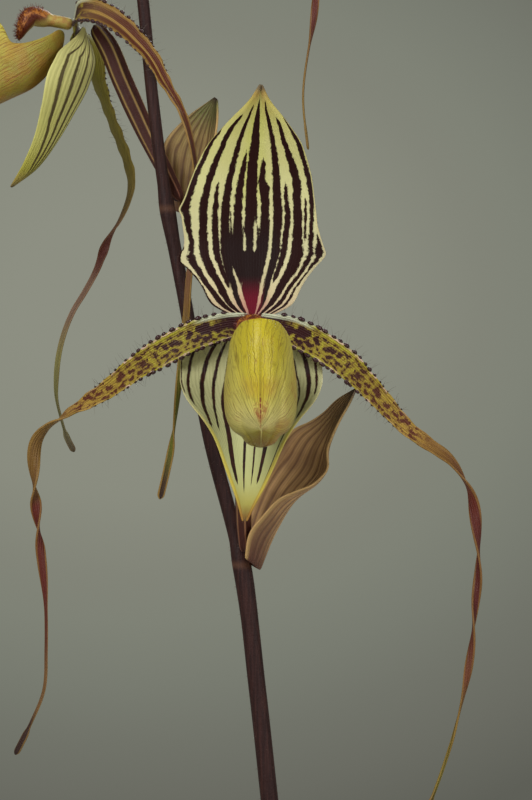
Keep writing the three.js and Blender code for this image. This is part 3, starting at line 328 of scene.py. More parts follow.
# Stripes of the sepals: (share along, place from -1 at the left margin to 1, half width), where 0
# as a half width ends the stripe
DORSAL_MARGIN = [
    [(0, -0.98, 0.1), (0.1, -1.02, 0.06), (0.3, -1.02, 0.05), (0.36, -1.03, 0)],
    [(0, 0.8, 0.06), (0.1, 0.865, 0.03), (0.2, 0.925, 0.018), (0.26, 0.92, 0.035), (0.3, 0.925, 0.045),
     (0.34, 0.95, 0.03), (0.42, 0.98, 0)],
]
DORSAL_STRIPES = [
    [(0, -0.7, 0.09), (0.05, -0.72, 0.09), (0.15, -0.88, 0.06), (0.28, -0.86, 0.035), (0.4, -0.92, 0.04),
     (0.48, -0.93, 0.05), (0.53, -0.955, 0.07), (0.58, -0.94, 0.05), (0.7, -0.91, 0.05),
     (0.8, -0.95, 0.05), (0.85, -0.985, 0)],
    [(0, -0.46, 0.08), (0.1, -0.605, 0.085), (0.2, -0.68, 0.08), (0.35, -0.72, 0.065), (0.5, -0.735, 0.06),
     (0.65, -0.68, 0.06), (0.75, -0.66, 0.06), (0.83, -0.725, 0.07), (0.875, -0.7, 0.045), (0.895, -0.69, 0)],
    [(0.11, -0.46, 0), (0.14, -0.47, 0.04), (0.3, -0.525, 0.055), (0.45, -0.56, 0.05), (0.57, -0.55, 0.03),
     (0.63, -0.53, 0)],
    [(0, -0.25, 0.07), (0.1, -0.345, 0.065), (0.3, -0.4, 0.07), (0.5, -0.4, 0.07), (0.65, -0.355, 0.055),
     (0.75, -0.345, 0.055), (0.875, -0.38, 0.06), (0.91, -0.43, 0.055), (0.93, -0.5, 0)],
    [(0.3, -0.3, 0), (0.34, -0.3, 0.015), (0.47, -0.32, 0.012), (0.49, -0.325, 0)],
    [(0.1, -0.2, 0), (0.2, -0.2, 0.07), (0.45, -0.21, 0.07), (0.55, -0.195, 0.065), (0.66, -0.16, 0.05),
     (0.72, -0.15, 0.02), (0.77, -0.165, 0)],
    [(0, 0, 0.16), (0.12, -0.02, 0.2), (0.2, -0.03, 0.12), (0.35, -0.04, 0.085), (0.45, 0, 0.1),
     (0.65, 0, 0.09), (0.78, 0, 0.1), (0.87, -0.02, 0.11), (0.93, -0.03, 0.09), (0.96, -0.01, 0)],
    [(0.12, 0.2, 0), (0.18, 0.2, 0.06), (0.35, 0.2, 0.08), (0.5, 0.215, 0.065), (0.575, 0.21, 0.09),
     (0.6, 0.17, 0.06), (0.68, 0.185, 0.045), (0.72, 0.19, 0)],
    [(0, 0.2, 0.05), (0.1, 0.28, 0.06), (0.3, 0.36, 0.07), (0.45, 0.41, 0.075), (0.65, 0.405, 0.065),
     (0.8, 0.39, 0.06), (0.9, 0.42, 0.075), (0.93, 0.56, 0.05), (0.945, 0.65, 0)],
    [(0.13, 0.4, 0), (0.17, 0.42, 0.05), (0.3, 0.49, 0.05), (0.45, 0.56, 0.05), (0.57, 0.55, 0.03),
     (0.62, 0.55, 0)],
    [(0, 0.36, 0.07), (0.1, 0.545, 0.085), (0.2, 0.655, 0.1), (0.3, 0.68, 0.09), (0.4, 0.7, 0.07),
     (0.5, 0.715, 0.065), (0.6, 0.735, 0.075), (0.7, 0.675, 0.065), (0.78, 0.635, 0.055),
     (0.85, 0.72, 0.06), (0.885, 0.73, 0)],
    [(0.29, 0.775, 0), (0.35, 0.79, 0.02), (0.5, 0.845, 0.025), (0.56, 0.85, 0)],
    [(0, 0.58, 0.09), (0.1, 0.73, 0.05), (0.2, 0.83, 0.04), (0.3, 0.84, 0.03), (0.45, 0.925, 0.035),
     (0.55, 0.945, 0.045), (0.7, 0.915, 0.045), (0.8, 0.93, 0.055), (0.86, 0.98, 0.04), (0.89, 1, 0)],
]
DORSAL_STREAKS = [
    [(0.28, -0.105, 0), (0.3, -0.105, 0.02), (0.36, -0.105, 0.02), (0.4, -0.105, 0)],
    [(0.26, 0.04, 0), (0.3, 0.045, 0.02), (0.4, 0.06, 0.03), (0.47, 0.05, 0)],
    [(0, 0.14, 0.02), (0.07, 0.16, 0.03), (0.18, 0.22, 0.03), (0.3, 0.27, 0.022), (0.42, 0.31, 0.02),
     (0.46, 0.31, 0)],
    [(0, -0.13, 0.02), (0.05, -0.17, 0.03), (0.13, -0.25, 0.03), (0.2, -0.3, 0.02), (0.25, -0.32, 0)],
]
SYNSEPAL_STRIPES = [
    [(0.12, -0.985, 0.012), (0.35, -0.985, 0.012), (0.42, -0.99, 0)],
    [(0.05, -0.84, 0.02), (0.17, -0.85, 0.024), (0.3, -0.89, 0.024), (0.4, -0.94, 0.022), (0.48, -0.98, 0)],
    [(0, -0.52, 0.02), (0.11, -0.575, 0.034), (0.26, -0.67, 0.036), (0.37, -0.74, 0.034),
     (0.44, -0.83, 0.032), (0.52, -0.92, 0.026), (0.57, -0.97, 0)],
    [(0, -0.36, 0.02), (0.13, -0.43, 0.026), (0.32, -0.54, 0.026), (0.4, -0.605, 0.026),
     (0.53, -0.78, 0.022), (0.6, -0.83, 0)],
    [(0, -0.24, 0.02), (0.3, -0.36, 0.03), (0.51, -0.56, 0.05), (0.65, -0.65, 0.08), (0.72, -0.68, 0.085),
     (0.8, -0.68, 0.07), (0.84, -0.68, 0)],
    [(0, -0.1, 0.02), (0.3, -0.11, 0.03), (0.6, -0.165, 0.045), (0.74, -0.24, 0.055), (0.84, -0.3, 0.04),
     (0.9, -0.33, 0)],
    [(0, 0.06, 0.02), (0.4, 0.12, 0.03), (0.64, 0.14, 0.035), (0.76, 0.16, 0.04), (0.82, 0.165, 0.02),
     (0.86, 0.17, 0)],
    [(0, 0.2, 0.02), (0.4, 0.38, 0.04), (0.65, 0.49, 0.07), (0.8, 0.515, 0.065), (0.84, 0.52, 0)],
    [(0, 0.3, 0.02), (0.2, 0.42, 0.03), (0.4, 0.6, 0.03), (0.6, 0.73, 0.03), (0.66, 0.74, 0)],
    [(0, 0.45, 0.02), (0.2, 0.61, 0.016), (0.28, 0.64, 0.016), (0.42, 0.77, 0.014), (0.56, 0.89, 0.018),
     (0.85, 0.895, 0.02), (0.88, 0.9, 0)],
    [(0, 0.68, 0.03), (0.165, 0.757, 0.036), (0.33, 0.824, 0.034), (0.42, 0.878, 0.028),
     (0.48, 0.933, 0.02), (0.53, 0.96, 0)],
    [(0, 0.84, 0.02), (0.18, 0.9, 0.022), (0.31, 0.92, 0.02), (0.36, 0.945, 0.016), (0.42, 0.97, 0)],
]
FOLDED_STRIPES = [
    [(0, place * 0.6, 0.016), (0.2, place, 0.024), (0.6, place * 0.95, 0.032), (0.85, place * 0.8, 0.04),
     (0.94, place * 0.6, 0.02), (0.96, place * 0.6, 0)]
    for place in (-0.9, -0.76, -0.6, -0.4, -0.22, -0.04, 0.14, 0.32, 0.5, 0.68, 0.86)]

# Tails of the petals: where their colour begins, how light their edges are, and their colours
# along them: (distance, red, green, blue)
TAIL_START = 54
TAIL_EDGE = 0.45
TAIL_STARTS = {"b_left": 4, "b_right": 5}
TAIL_EDGES = {"b_left": 0.1, "b_right": 0.9}
TAIL_COLOURS = {
    "a_left": [(66, 126, 94, 44), (76, 116, 84, 34), (85, 106, 70, 30), (88, 92, 30, 17),
               (112, 88, 28, 17), (126, 92, 48, 28), (134, 120, 86, 48), (144, 112, 80, 44),
               (148, 56, 34, 24), (160, 32, 20, 18)],
    "a_right": [(56, 132, 96, 40), (66, 122, 84, 38), (74, 104, 60, 34), (80, 94, 34, 20),
                (96, 84, 26, 18), (112, 80, 24, 18), (120, 92, 44, 28), (130, 106, 58, 32),
                (138, 114, 84, 36), (146, 116, 98, 32), (160, 110, 104, 30), (166, 82, 62, 28),
                (175, 60, 40, 26)],
    "b_left": [(10, 140, 134, 44), (60, 130, 114, 46), (72, 130, 108, 62), (78, 124, 92, 68),
               (84, 90, 44, 32), (90, 84, 36, 26), (95, 100, 60, 48), (100, 124, 94, 76), (114, 124, 98, 78),
               (128, 124, 118, 66), (140, 108, 106, 60), (152, 94, 92, 58), (160, 72, 62, 42)],
    "b_right": [(10, 116, 84, 54), (24, 96, 54, 32), (40, 90, 40, 22), (60, 96, 42, 24), (80, 104, 56, 42),
                (104, 124, 80, 64), (122, 124, 90, 48), (134, 124, 104, 42), (150, 112, 114, 36),
                (165, 110, 112, 36), (176, 72, 52, 30), (181, 48, 30, 22)],
    "c": [(62, 120, 86, 40), (80, 96, 44, 28), (100, 96, 38, 28), (128, 92, 40, 28), (140, 116, 86, 48),
          (152, 128, 104, 54)],
}


def mix(a, b, share):
    return a + (b - a) * share


def clamp01(value):
    return np.clip(value, 0, 1)


def ease(value):
    x = clamp01(value)
    return x * x * (3 - 2 * x)


def dome(share):
    """The height of a quarter circle over its share, for ends that close in a round."""
    return np.sqrt(clamp01(1 - (1 - clamp01(share)) ** 2))


def unit(vectors):
    return vectors / np.linalg.norm(vectors, axis=-1, keepdims=True)


def graph(pairs):
    """A smooth function through (input, output) pairs that never overshoots them."""
    x, y = np.array(sorted(pairs), float).T
    slopes = np.diff(y) / np.diff(x)
    product = slopes[:-1] * slopes[1:]
    both = np.where(product > 0, slopes[:-1] + slopes[1:], 1)
    tangents = np.concatenate([slopes[:1], np.where(product > 0, 2 * product / both, 0), slopes[-1:]])

    def value(given):
        at = np.clip(given, x[0], x[-1])
        k = np.clip(np.searchsorted(x, at) - 1, 0, len(x) - 2)
        span = x[k + 1] - x[k]
        t = (at - x[k]) / span
        lean = tangents[k] * (1 - t) - tangents[k + 1] * t
        return mix(y[k], y[k + 1], t * t * (3 - 2 * t)) + span * t * (1 - t) * lean

    return value


class Line:
    """A smooth line through points, read by the distance along it."""

    def __init__(self, points):
        knots = np.array(points, float)
        led = np.vstack([2 * knots[0] - knots[1], knots, 2 * knots[-1] - knots[-2]])
        runs = []
        t = np.linspace(0, 1, LINE_STEPS, endpoint=False)[:, None]
        for before, here, there, after in zip(led, led[1:], led[2:], led[3:]):
            d0, d1, d2 = (np.linalg.norm(q - p) ** 0.5
                          for p, q in ((before, here), (here, there), (there, after)))
            leave = ((here - before) / d0 - (there - before) / (d0 + d1) + (there - here) / d1) * d1
            arrive = ((there - here) / d1 - (after - here) / (d1 + d2) + (after - there) / d2) * d1
            gone = there - here
            runs.append(here + leave * t + (3 * gone - 2 * leave - arrive) * t**2
                        + (leave + arrive - 2 * gone) * t**3)
        self.points = np.vstack([*runs, knots[-1:]])
        steps = np.linalg.norm(np.diff(self.points, axis=0), axis=1)
        self.marks = np.concatenate([[0], np.cumsum(steps)])
        self.length = self.marks[-1]

    def at(self, distance):
        return np.stack([np.interp(distance, self.marks, axis) for axis in self.points.T], -1)

    def heading(self, distance):
        ahead = np.minimum(distance + 0.25, self.length)
        behind = np.maximum(distance - 0.25, 0)
        return unit(self.at(ahead) - self.at(behind))

    def carried(self, start):
        """A function of the distance: start, turned along with the line without any twist."""
        marks = np.linspace(0, self.length, CARRIED_STEPS)
        side = np.array(start, float)
        sides = []
        for heading in self.heading(marks):
            side = unit(side - heading * (side @ heading))
            sides.append(side)
        axes = np.array(sides).T
        return lambda distance: unit(np.stack([np.interp(distance, marks, axis) for axis in axes], -1))


def in_bloom(right, forward, up):
    """Points of a bloom's frame, where the viewer looks along +y."""
    right, forward, up = np.broadcast_arrays(right, forward, up)
    return np.stack([right, -forward, up], -1)


def into_plant(key, points):
    """Points of a bloom's frame, brought to their place on the plant."""
    bloom = BLOOMS[key]
    turn, tip = math.radians(bloom["turn"]), math.radians(-bloom["lift"])
    about_up = np.array([[math.cos(turn), -math.sin(turn), 0], [math.sin(turn), math.cos(turn), 0],
                         [0, 0, 1]])
    about_right = np.array([[1, 0, 0], [0, math.cos(tip), -math.sin(tip)],
                            [0, math.sin(tip), math.cos(tip)]])
    return np.array(bloom["centre"]) + bloom["size"] * points @ (about_up @ about_right).T


# Modelling


def deselect():
    bpy.ops.object.select_all(action="DESELECT")


def pick(*pieces):
    """Selects these pieces alone and makes the first one active."""
    deselect()
    for piece in pieces:
        piece.select_set(True)
    bpy.context.view_layer.objects.active = pieces[0]


def edit(piece, *steps):
    """Edit mode with everything selected: each step is an operator with its settings."""
    pick(piece)
    bpy.ops.object.mode_set(mode="EDIT")
    bpy.ops.mesh.select_all(action="SELECT")
    for operator, settings in steps:
        operator(**settings)
    bpy.ops.object.mode_set(mode="OBJECT")


def close_seams(piece):
    """Joins the corners that meet and turns every face outward."""
    edit(piece, (bpy.ops.mesh.remove_doubles, {"threshold": MERGE_DISTANCE}),
         (bpy.ops.mesh.normals_make_consistent, {"inside": False}))


def give(piece, kind, **settings):
    """A modifier, set and applied."""
    pick(piece)
    modifier = piece.modifiers.new(kind.lower(), kind)
    for name, value in settings.items():
        setattr(modifier, name, value)
    bpy.ops.object.modifier_apply(modifier=modifier.name)


def smooth(piece):
    give(piece, "SUBSURF", levels=1, render_levels=1)


def thicken(piece, thickness):
    """Turns a sheet into flesh with rounded edges."""
    give(piece, "SOLIDIFY", thickness=thickness * MM, offset=0)
    smooth(piece)


def corners(piece):
    flat = np.empty(3 * len(piece.data.vertices), np.float32)
    piece.data.vertices.foreach_get("co", flat)
    return flat.reshape(-1, 3).astype(float)


def move_corners(piece, points):
    piece.data.vertices.foreach_set("co", points.astype(np.float32).ravel())
    piece.data.update()


def map_of(piece):
    """The two coordinates of the piece's own map, at the corners of its faces."""
    flat = np.empty(2 * len(piece.data.loops), np.float32)
    piece.data.uv_layers.active.data.foreach_get("uv", flat)
    return flat.reshape(-1, 2).astype(float).T


def set_map(piece, u, v):
    flat = np.stack([u, v], -1).astype(np.float32).ravel()
    piece.data.uv_layers.active.data.foreach_set("uv", flat)


def shaped_grid(name, grid, place):
    """A grid added flat and then shaped: place(u, v) gives its corners in millimetres."""
    deselect()
    bpy.ops.mesh.primitive_grid_add(x_subdivisions=grid[0], y_subdivisions=grid[1], size=1)
    piece = bpy.context.object
    piece.name = piece.data.name = name
    flat = corners(piece)
    move_corners(piece, place(flat[:, 0] + 0.5, flat[:, 1] + 0.5) * MM)
    return piece


def blade(name, grid, place, thickness):
    """A thin sheet of flesh."""
    piece = shaped_grid(name, grid, place)
    thicken(piece, thickness)
    return piece


def round_body(name, grid, place):
    """A grid rolled up: v runs round it, and both its ends come to a point."""
    piece = shaped_grid(name, grid, place)
    close_seams(piece)
    return piece


def copies(name, pattern, placed):
    """Many copies of a small mesh in one piece: placed holds each copy's corners in millimetres."""
    faces = np.array([list(face.vertices) for face in pattern.data.polygons])
    offsets = np.arange(len(placed))[:, None, None] * placed.shape[1]
    mesh = bpy.data.meshes.new(name)
    mesh.from_pydata((placed.reshape(-1, 3) * MM).tolist(), [],
                     (faces + offsets).reshape(-1, faces.shape[1]).tolist())
    piece = bpy.data.objects.new(name, mesh)
    bpy.context.scene.collection.objects.link(piece)
    bpy.data.objects.remove(pattern)
    return piece


def repeated(name, pattern, points, scales, frames):
    """Copies set at points: frames are their three directions, scales their sizes."""
    shape = corners(pattern)
    return copies(name, pattern, points[:, None, :] + np.einsum("nk,vk,nkx->nvx", scales, shape, frames))


def finish(piece, material, slot, *nodes, angle=50):
    """Gives a finished piece its material and its place in the frame."""
    pick(piece)
    bpy.ops.object.shade_smooth_by_angle(angle=math.radians(angle))
    piece.data.materials.clear()
    piece.data.materials.append(material)
    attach(piece, "root")
    if nodes:
        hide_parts(*nodes)


def hair_pattern():
    """One hair, a unit long and three-sided, tapering over its joints."""
    deselect()
    bpy.ops.mesh.primitive_circle_add(vertices=3, radius=1, fill_type="NGON")
    hair = bpy.context.object
    steps, height = [], 0
    for rise, narrowing in HAIR_JOINTS:
        height += rise
        steps += [(bpy.ops.mesh.extrude_region_move, {"TRANSFORM_OT_translate": {"value": (0, 0, rise)}}),
                  (bpy.ops.transform.resize, {"value": (narrowing, narrowing, 1),
                                              "center_override": (0, 0, height)})]
    edit(hair, *steps, (bpy.ops.mesh.select_all, {"action": "SELECT"}),
         (bpy.ops.mesh.quads_convert_to_tris, {}), (bpy.ops.mesh.normals_make_consistent, {"inside": False}))
    return hair


def hairs(name, roots, directions, lengths, radius, droop, rng):
    """Hairs that leave their roots along directions and bend over as they go."""
    pattern = hair_pattern()
    shape = corners(pattern)
    directions = unit(directions)
    sides = unit(np.cross(directions, unit(rng.normal(size=roots.shape))))
    fronts = np.cross(directions, sides)
    bends = droop * lengths * rng.uniform(0.3, 1, len(roots))
    rise = shape[:, 2]
    placed = (roots[:, None, :]
              + directions[:, None, :] * (rise[None, :] * lengths[:, None])[..., None]
              + sides[:, None, :] * (radius * shape[None, :, 0] + bends[:, None] * rise**2)[..., None]
              + fronts[:, None, :] * (radius * shape[:, 1])[None, :, None])
    return copies(name, pattern, placed)


# Painting


def srgb(red, green, blue):
    """A colour read on a screen, 0 to 255, as the shader wants it."""
    def linear(value):
        share = value / 255
        return share / 12.92 if share <= 0.04045 else ((share + 0.055) / 1.055) ** 2.4
    return (linear(red), linear(green), linear(blue), 1)


class Wire:
    """What a node gives. Arithmetic on it adds the nodes that work it out."""

    def __init__(self, paint, socket):
        self.paint = paint
        self.socket = socket

    def __add__(self, other):
        return self.paint.math("ADD", self, other)

    def __sub__(self, other):
        return self.paint.math("SUBTRACT", self, other)

    def __rsub__(self, other):
        return self.paint.math("SUBTRACT", other, self)

    def __mul__(self, other):
        return self.paint.math("MULTIPLY", self, other)

    def __truediv__(self, other):
        return self.paint.math("DIVIDE", self, other)

    def __abs__(self):
        return self.paint.math("ABSOLUTE", self)

    def most(self, other):
        return self.paint.math("MAXIMUM", self, other)

    def between(self, low, high):
        """0 below low, 1 above high, smoothly; or the other way if low is above high."""
        node = self.paint.add("MapRange", {"Value": self}, interpolation_type="SMOOTHSTEP")
        ends = {"From Min": low, "From Max": high}
        if not isinstance(low, Wire) and not isinstance(high, Wire) and low > high:
            ends = {"From Min": high, "From Max": low, "To Min": 1, "To Max": 0}
        for name, value in ends.items():
            self.paint.feed(node.inputs[name], value)
        return Wire(self.paint, node.outputs["Result"])

    def ramp(self, *stops, screen=True):
        """Colours (share, red, green, blue) or greys (share, grey), read straight between the stops.
        Colours are screen colours unless told otherwise."""
        node = self.paint.add("ValToRGB", {"Fac": self})
        stops = sorted(stops, key=lambda stop: stop[0])
        elements = node.color_ramp.elements
        elements[0].position, elements[1].position = stops[0][0], stops[-1][0]
        for share, *_ in stops[1:-1]:
            elements.new(share)
        for element, (_, *shade) in zip(elements, stops):
            element.color = srgb(*shade) if screen and len(shade) == 3 else (*(shade * 3)[:3], 1)
        return Wire(self.paint, node.outputs["Color"])

    def toward(self, colour, share):
        return self.paint.mix(share, self, colour)

    def noise(self, scale, detail=3, roughness=0.55):
        return self.paint.read("TexNoise", {"Vector": self, "Scale": scale, "Detail": detail,
                                            "Roughness": roughness}, "Fac")

    def stretched(self, *scale):
        return self.paint.read("Mapping", {"Vector": self, "Scale": scale})

    def parts(self):
        return [Wire(self.paint, part) for part in self.paint.add("SeparateXYZ", {"Vector": self}).outputs]

    def channels(self):
        return [Wire(self.paint, part) for part in self.paint.add("SeparateColor", {"Color": self}).outputs]


class Paint:
    """Builds the nodes of a material or of a node group."""

    def __init__(self, tree, made=None):
        self.tree = tree
        self.made = made

    def add(self, kind, inputs=None, **settings):
        node = self.tree.nodes.new("ShaderNode" + kind)
        for name, value in settings.items():
            setattr(node, name, value)
        for name, value in (inputs or {}).items():
            self.feed(node.inputs[name], value)
        return node

    def read(self, kind, inputs=None, output=0, **settings):
        """One output of a new node."""
        return Wire(self, self.add(kind, inputs, **settings).outputs[output])

    def feed(self, socket, value):
        if isinstance(value, Wire):
            self.tree.links.new(value.socket, socket)
        else:
            socket.default_value = srgb(*value) if socket.type == "RGBA" else value

    def math(self, operation, *values, clamp=False):
        return self.read("Math", dict(enumerate(values)), operation=operation, use_clamp=clamp)

    def mix(self, share, one, other):
        return self.read("Mix", {0: share, 6: one, 7: other}, 2, data_type="RGBA")

    def flat(self, x, y):
        return self.read("CombineXYZ", {"X": x, "Y": y})

    def place(self):
        return self.read("TexCoord", output="Object")

    def shares(self):
        """The piece's own map: the share along it and the share across it."""
        return self.read("TexCoord", output="UV").parts()[:2]

    def group(self, tree, **inputs):
        """The outputs, by name, of a node group fed with these inputs."""
        titles = {name.replace("_", " ").title(): value for name, value in inputs.items()}
        outputs = self.add("Group", titles, node_tree=tree).outputs
        return {output.name: Wire(self, output) for output in outputs}

    def surface(self, colour, roughness, height=None, relief=0.0002, shine=0.5, **extra):
        """Ends the material with its shader, with a bump where a height is given."""
        shader = self.add("BsdfPrincipled", {"Base Color": colour, "Roughness": roughness,
                                             "Specular IOR Level": shine, **extra})
        if height is not None:
            bump = self.read("Bump", {"Height": height, "Strength": 1, "Distance": relief})
            self.feed(shader.inputs["Normal"], bump)
        self.feed(self.add("OutputMaterial").inputs["Surface"], Wire(self, shader.outputs["BSDF"]))
        return self.made


def material(name):
    """What builds a new material."""
    made = bpy.data.materials.new(name)
    made.use_nodes = True
    made.node_tree.nodes.clear()
    return Paint(made.node_tree, made)


def node_group(name, inputs, outputs):
    """A group whose inputs have a first number, or the name of what they carry instead."""
    tree = bpy.data.node_groups.new(name, "ShaderNodeTree")
    for title, first in inputs.items():
        kind = first if isinstance(first, str) else "Float"
        socket = tree.interface.new_socket(title, in_out="INPUT", socket_type=f"NodeSocket{kind}")
        if kind == "Float":
            socket.default_value = first
    for title in outputs:
        kind = "Color" if title == "Color" else "Float"
        tree.interface.new_socket(title, in_out="OUTPUT", socket_type=f"NodeSocket{kind}")
    paint = Paint(tree)
    given = {socket.name: Wire(paint, socket) for socket in tree.nodes.new("NodeGroupInput").outputs}
    return tree, paint, given, tree.nodes.new("NodeGroupOutput").inputs


def flesh_grain():
    """The fine cells and cloudy tint that all the soft flesh shares."""
    tree, paint, given, made = node_group("flesh_grain", {"Vector": "Vector", "Scale": 1},
                                          ("Cloud", "Height"))
    sized = paint.read("VectorMath", {0: given["Vector"], "Scale": given["Scale"]}, operation="SCALE")
    cells = paint.read("TexVoronoi", {"Vector": sized, "Scale": 2600}, "Distance", feature="SMOOTH_F1")
    cloud = sized.noise(220, 4)
    paint.feed(made["Cloud"], cloud)
    paint.feed(made["Height"], cells * -0.5 + cloud)
    return tree


def parallel_veins():
    """Lines that run along a piece side by side and wander a little."""
    tree, paint, given, made = node_group(
        "parallel_veins", {"Along": 0, "Across": 0, "Count": 10, "Wander": 0.5, "Width": 0.3},
        ("Lines", "Height"))
    lanes = given["Across"] * given["Count"]
    drift = paint.flat(given["Along"] * 5, lanes).noise(1, 2) - 0.5
    lane = lanes + drift * given["Wander"]
    off = abs(paint.math("FRACT", lane) - 0.5) * 2
    paint.feed(made["Lines"], 1 - off.between(0, given["Width"]))
    paint.feed(made["Height"], paint.math("COSINE", lane * (2 * math.pi)))
    return tree


def dark_stripe():
    """One stripe, whose place (red) and half width (green) are read from a ramp along the sepal."""
    tree, paint, given, made = node_group("dark_stripe", {"Lane": 0, "Shape": "Color", "Jag": 0}, ("Mask",))
    red, green, _ = given["Shape"].channels()
    off = abs(given["Lane"] - (red * 2.5 - 1.25))
    near = green * 0.25 - 0.05 + given["Jag"] - off
    paint.feed(made["Mask"], near.between(-0.008, 0.012))
    return tree


GRAIN = flesh_grain()
VEINS = parallel_veins()
STRIPE = dark_stripe()


def skin(name, fineness=1):
    """A new material's builder, the shares along and across its piece, and the grain of its flesh."""
    paint = material(name)
    return paint, *paint.shares(), paint.group(GRAIN, vector=paint.place(), scale=fineness)


def veins(along, across, count, wander, width):
    return along.paint.group(VEINS, along=along, across=across, count=count, wander=wander, width=width)


def stripes_mask(along, lane, jag, stripes):
    """Where any of the stripes lies."""
    covered = 0
    for stops in stripes:
        shape = along.ramp(*((share, 0.5 + place / 2.5, 0.2 + 4 * (half or -0.035), 0)
                             for share, place, half in stops), screen=False)
        covered = along.paint.group(STRIPE, lane=lane, shape=shape, jag=jag)["Mask"].most(covered)
    return covered


def torn_edge(along, lane, depth):
    """The unevenness of the stripes' edges, which are made of small dashes run together."""
    return (along.paint.flat(along * 40, lane * 15).noise(1, 4, 0.75) - 0.5) * depth


def dorsal_skin():
    """Cream and yellow-green with dark maroon stripes that all but merge in the middle, greyed low in the
    middle by a painted sheen.
    """
    paint, u, v, grain = skin("dorsal_sepal_skin")
    lane = v * 2 - 1
    wing = abs(lane)
    jag = torn_edge(u, lane, 0.1)
    ground = u.ramp((0, 196, 160, 136), (0.1, 210, 192, 148), (0.3, 210, 203, 156), (0.6, 202, 198, 134),
                    (0.85, 196, 190, 104), (0.93, 190, 172, 66), (0.965, 176, 138, 44), (0.985, 96, 60, 28),
                    (1, 70, 40, 24))
    middle = wing.between(0.34, 0.12) * u.between(0.4, 0.6)
    ground = ground.toward((190, 190, 84), middle * 0.6)
    ground = ground.toward((216, 210, 168), grain["Cloud"] * 0.35)
    # Painted sheen: the dark of the stripes turns greyer low in the middle, standing in for light glancing
    # off the sepal there.
    painted_sheen = abs(lane + 0.02).between(0.5, 0.34) * u.between(0.48, 0.3)
    dark = paint.mix(painted_sheen, (36, 9, 6), (32, 16, 15))
    dark = dark.toward((104, 12, 34), wing.between(0.3, 0.16) * u.between(0.19, 0.06))
    base = wing.between(0.5, 0.25) * u.between(0.16, 0.05)
    ground = ground.toward((190, 120, 110), base * 0.6)
    merged = (u + jag * 2.2).between(0.42, 0.37) * u.between(0.11, 0.16)
    merged = merged * abs(lane + 0.1).between(0.38, 0.34)
    mask = merged.most(stripes_mask(u, lane, jag, DORSAL_STRIPES))
    streaks = stripes_mask(u, lane, jag * 0.8, DORSAL_STREAKS)
    rim = wing.between(0.965, 0.985) * 0.9
    mask = mask * (streaks * -0.9 + 1) * (1 - rim)
    mask = mask.most(stripes_mask(u, lane, jag, DORSAL_MARGIN))
    ground = ground.toward(u.ramp((0.2, 222, 206, 166), (0.7, 212, 202, 128), (0.9, 206, 184, 80)), rim)
    height = veins(u, v, 46, 0.6, 0.5)["Height"] * 0.1 + grain["Height"]
    return paint.surface(ground.toward(dark, mask), 0.6, height, 0.00012, shine=0.12)


def synsepal_skin():
    """Pale cream-green with narrow dark maroon stripes and yellow margins."""
    paint, u, v, grain = skin("synsepal_skin")
    lane = v * 2 - 1
    ground = u.ramp((0, 180, 172, 112), (0.15, 190, 186, 138), (0.4, 192, 190, 142), (0.7, 190, 192, 134),
                    (0.83, 192, 190, 122), (0.92, 188, 176, 84), (0.98, 158, 112, 46), (1, 96, 56, 34))
    ground = ground.toward((182, 186, 130), grain["Cloud"] * 0.3)
    mask = stripes_mask(u, lane, torn_edge(u, lane, 0.03), SYNSEPAL_STRIPES)
    rolled = u.ramp((0, 0.985), (0.42, 0.98), (0.6, 0.94), (0.8, 0.88), (1, 0.8))
    rim = abs(lane).between(rolled, rolled + 0.02)
    ground = ground.toward(u.ramp((0.1, 206, 198, 150), (0.42, 204, 196, 140), (0.55, 202, 190, 96),
                                  (0.85, 196, 176, 70), (0.97, 160, 116, 48)), rim)
    brown = paint.place().noise(420, 2).between(0.35, 0.65)
    stripe = paint.mix(brown, (36, 12, 12), (56, 22, 16))
    colour = ground.toward(stripe, mask * (rim * -0.85 + 1))
    height = veins(u, v, 40, 0.6, 0.5)["Height"] * 0.2 + grain["Height"]
    return paint.surface(colour, 0.55, height, 0.00012, shine=0.25)


def folded_synsepal_skin():
    """Pale yellow-green outside, with a few thin dark lines from the top to the tip."""
    paint, u, v, grain = skin("folded_synsepal_skin")
    lane = v * 2 - 1
    ground = u.ramp((0, 176, 166, 96), (0.2, 216, 210, 136), (0.7, 208, 202, 108), (0.88, 174, 166, 44),
                    (0.96, 154, 124, 40), (1, 92, 54, 34))
    ground = ground.toward((186, 186, 126), grain["Cloud"] * 0.4)
    mask = stripes_mask(u, lane, torn_edge(u, lane, 0.03), FOLDED_STRIPES)
    fine = veins(u, v, 34, 0.5, 0.5)
    colour = ground.toward((52, 22, 16), mask * 0.9).toward((120, 116, 50), fine["Lines"] * 0.18)
    return paint.surface(colour, 0.55, fine["Height"] * 0.3, 0.00012, shine=0.25)


def blotch_row():
    """A row of uneven blotches along a petal, all measures in millimetres."""
    tree, paint, given, made = node_group(
        "blotch_row", {"Along": 0, "Across": 0, "Pitch": 3, "Row": 0, "Reach": 1, "Stretch": 1, "Jag": 0,
                       "Seed": 0}, ("Mask", "Halo"))
    step = given["Along"] / given["Pitch"] + given["Seed"]
    number = paint.math("FLOOR", step) + given["Seed"]
    chance = paint.read("TexWhiteNoise", {"W": number}, "Color", noise_dimensions="1D")
    red, green, blue = chance.channels()
    off_along = (paint.math("FRACT", step) + (red * 0.36 - 0.68)) * given["Pitch"] / given["Stretch"]
    off_across = given["Across"] - (green * 0.8 + (given["Row"] - 0.4))
    far = paint.math("SQRT", off_along * off_along + off_across * off_across)
    near = given["Reach"] * (blue * 0.6 + 0.7) + given["Jag"] - far
    paint.feed(made["Mask"], near.between(-0.16, 0.2))
    paint.feed(made["Halo"], near.between(-0.9, 0))
    return tree


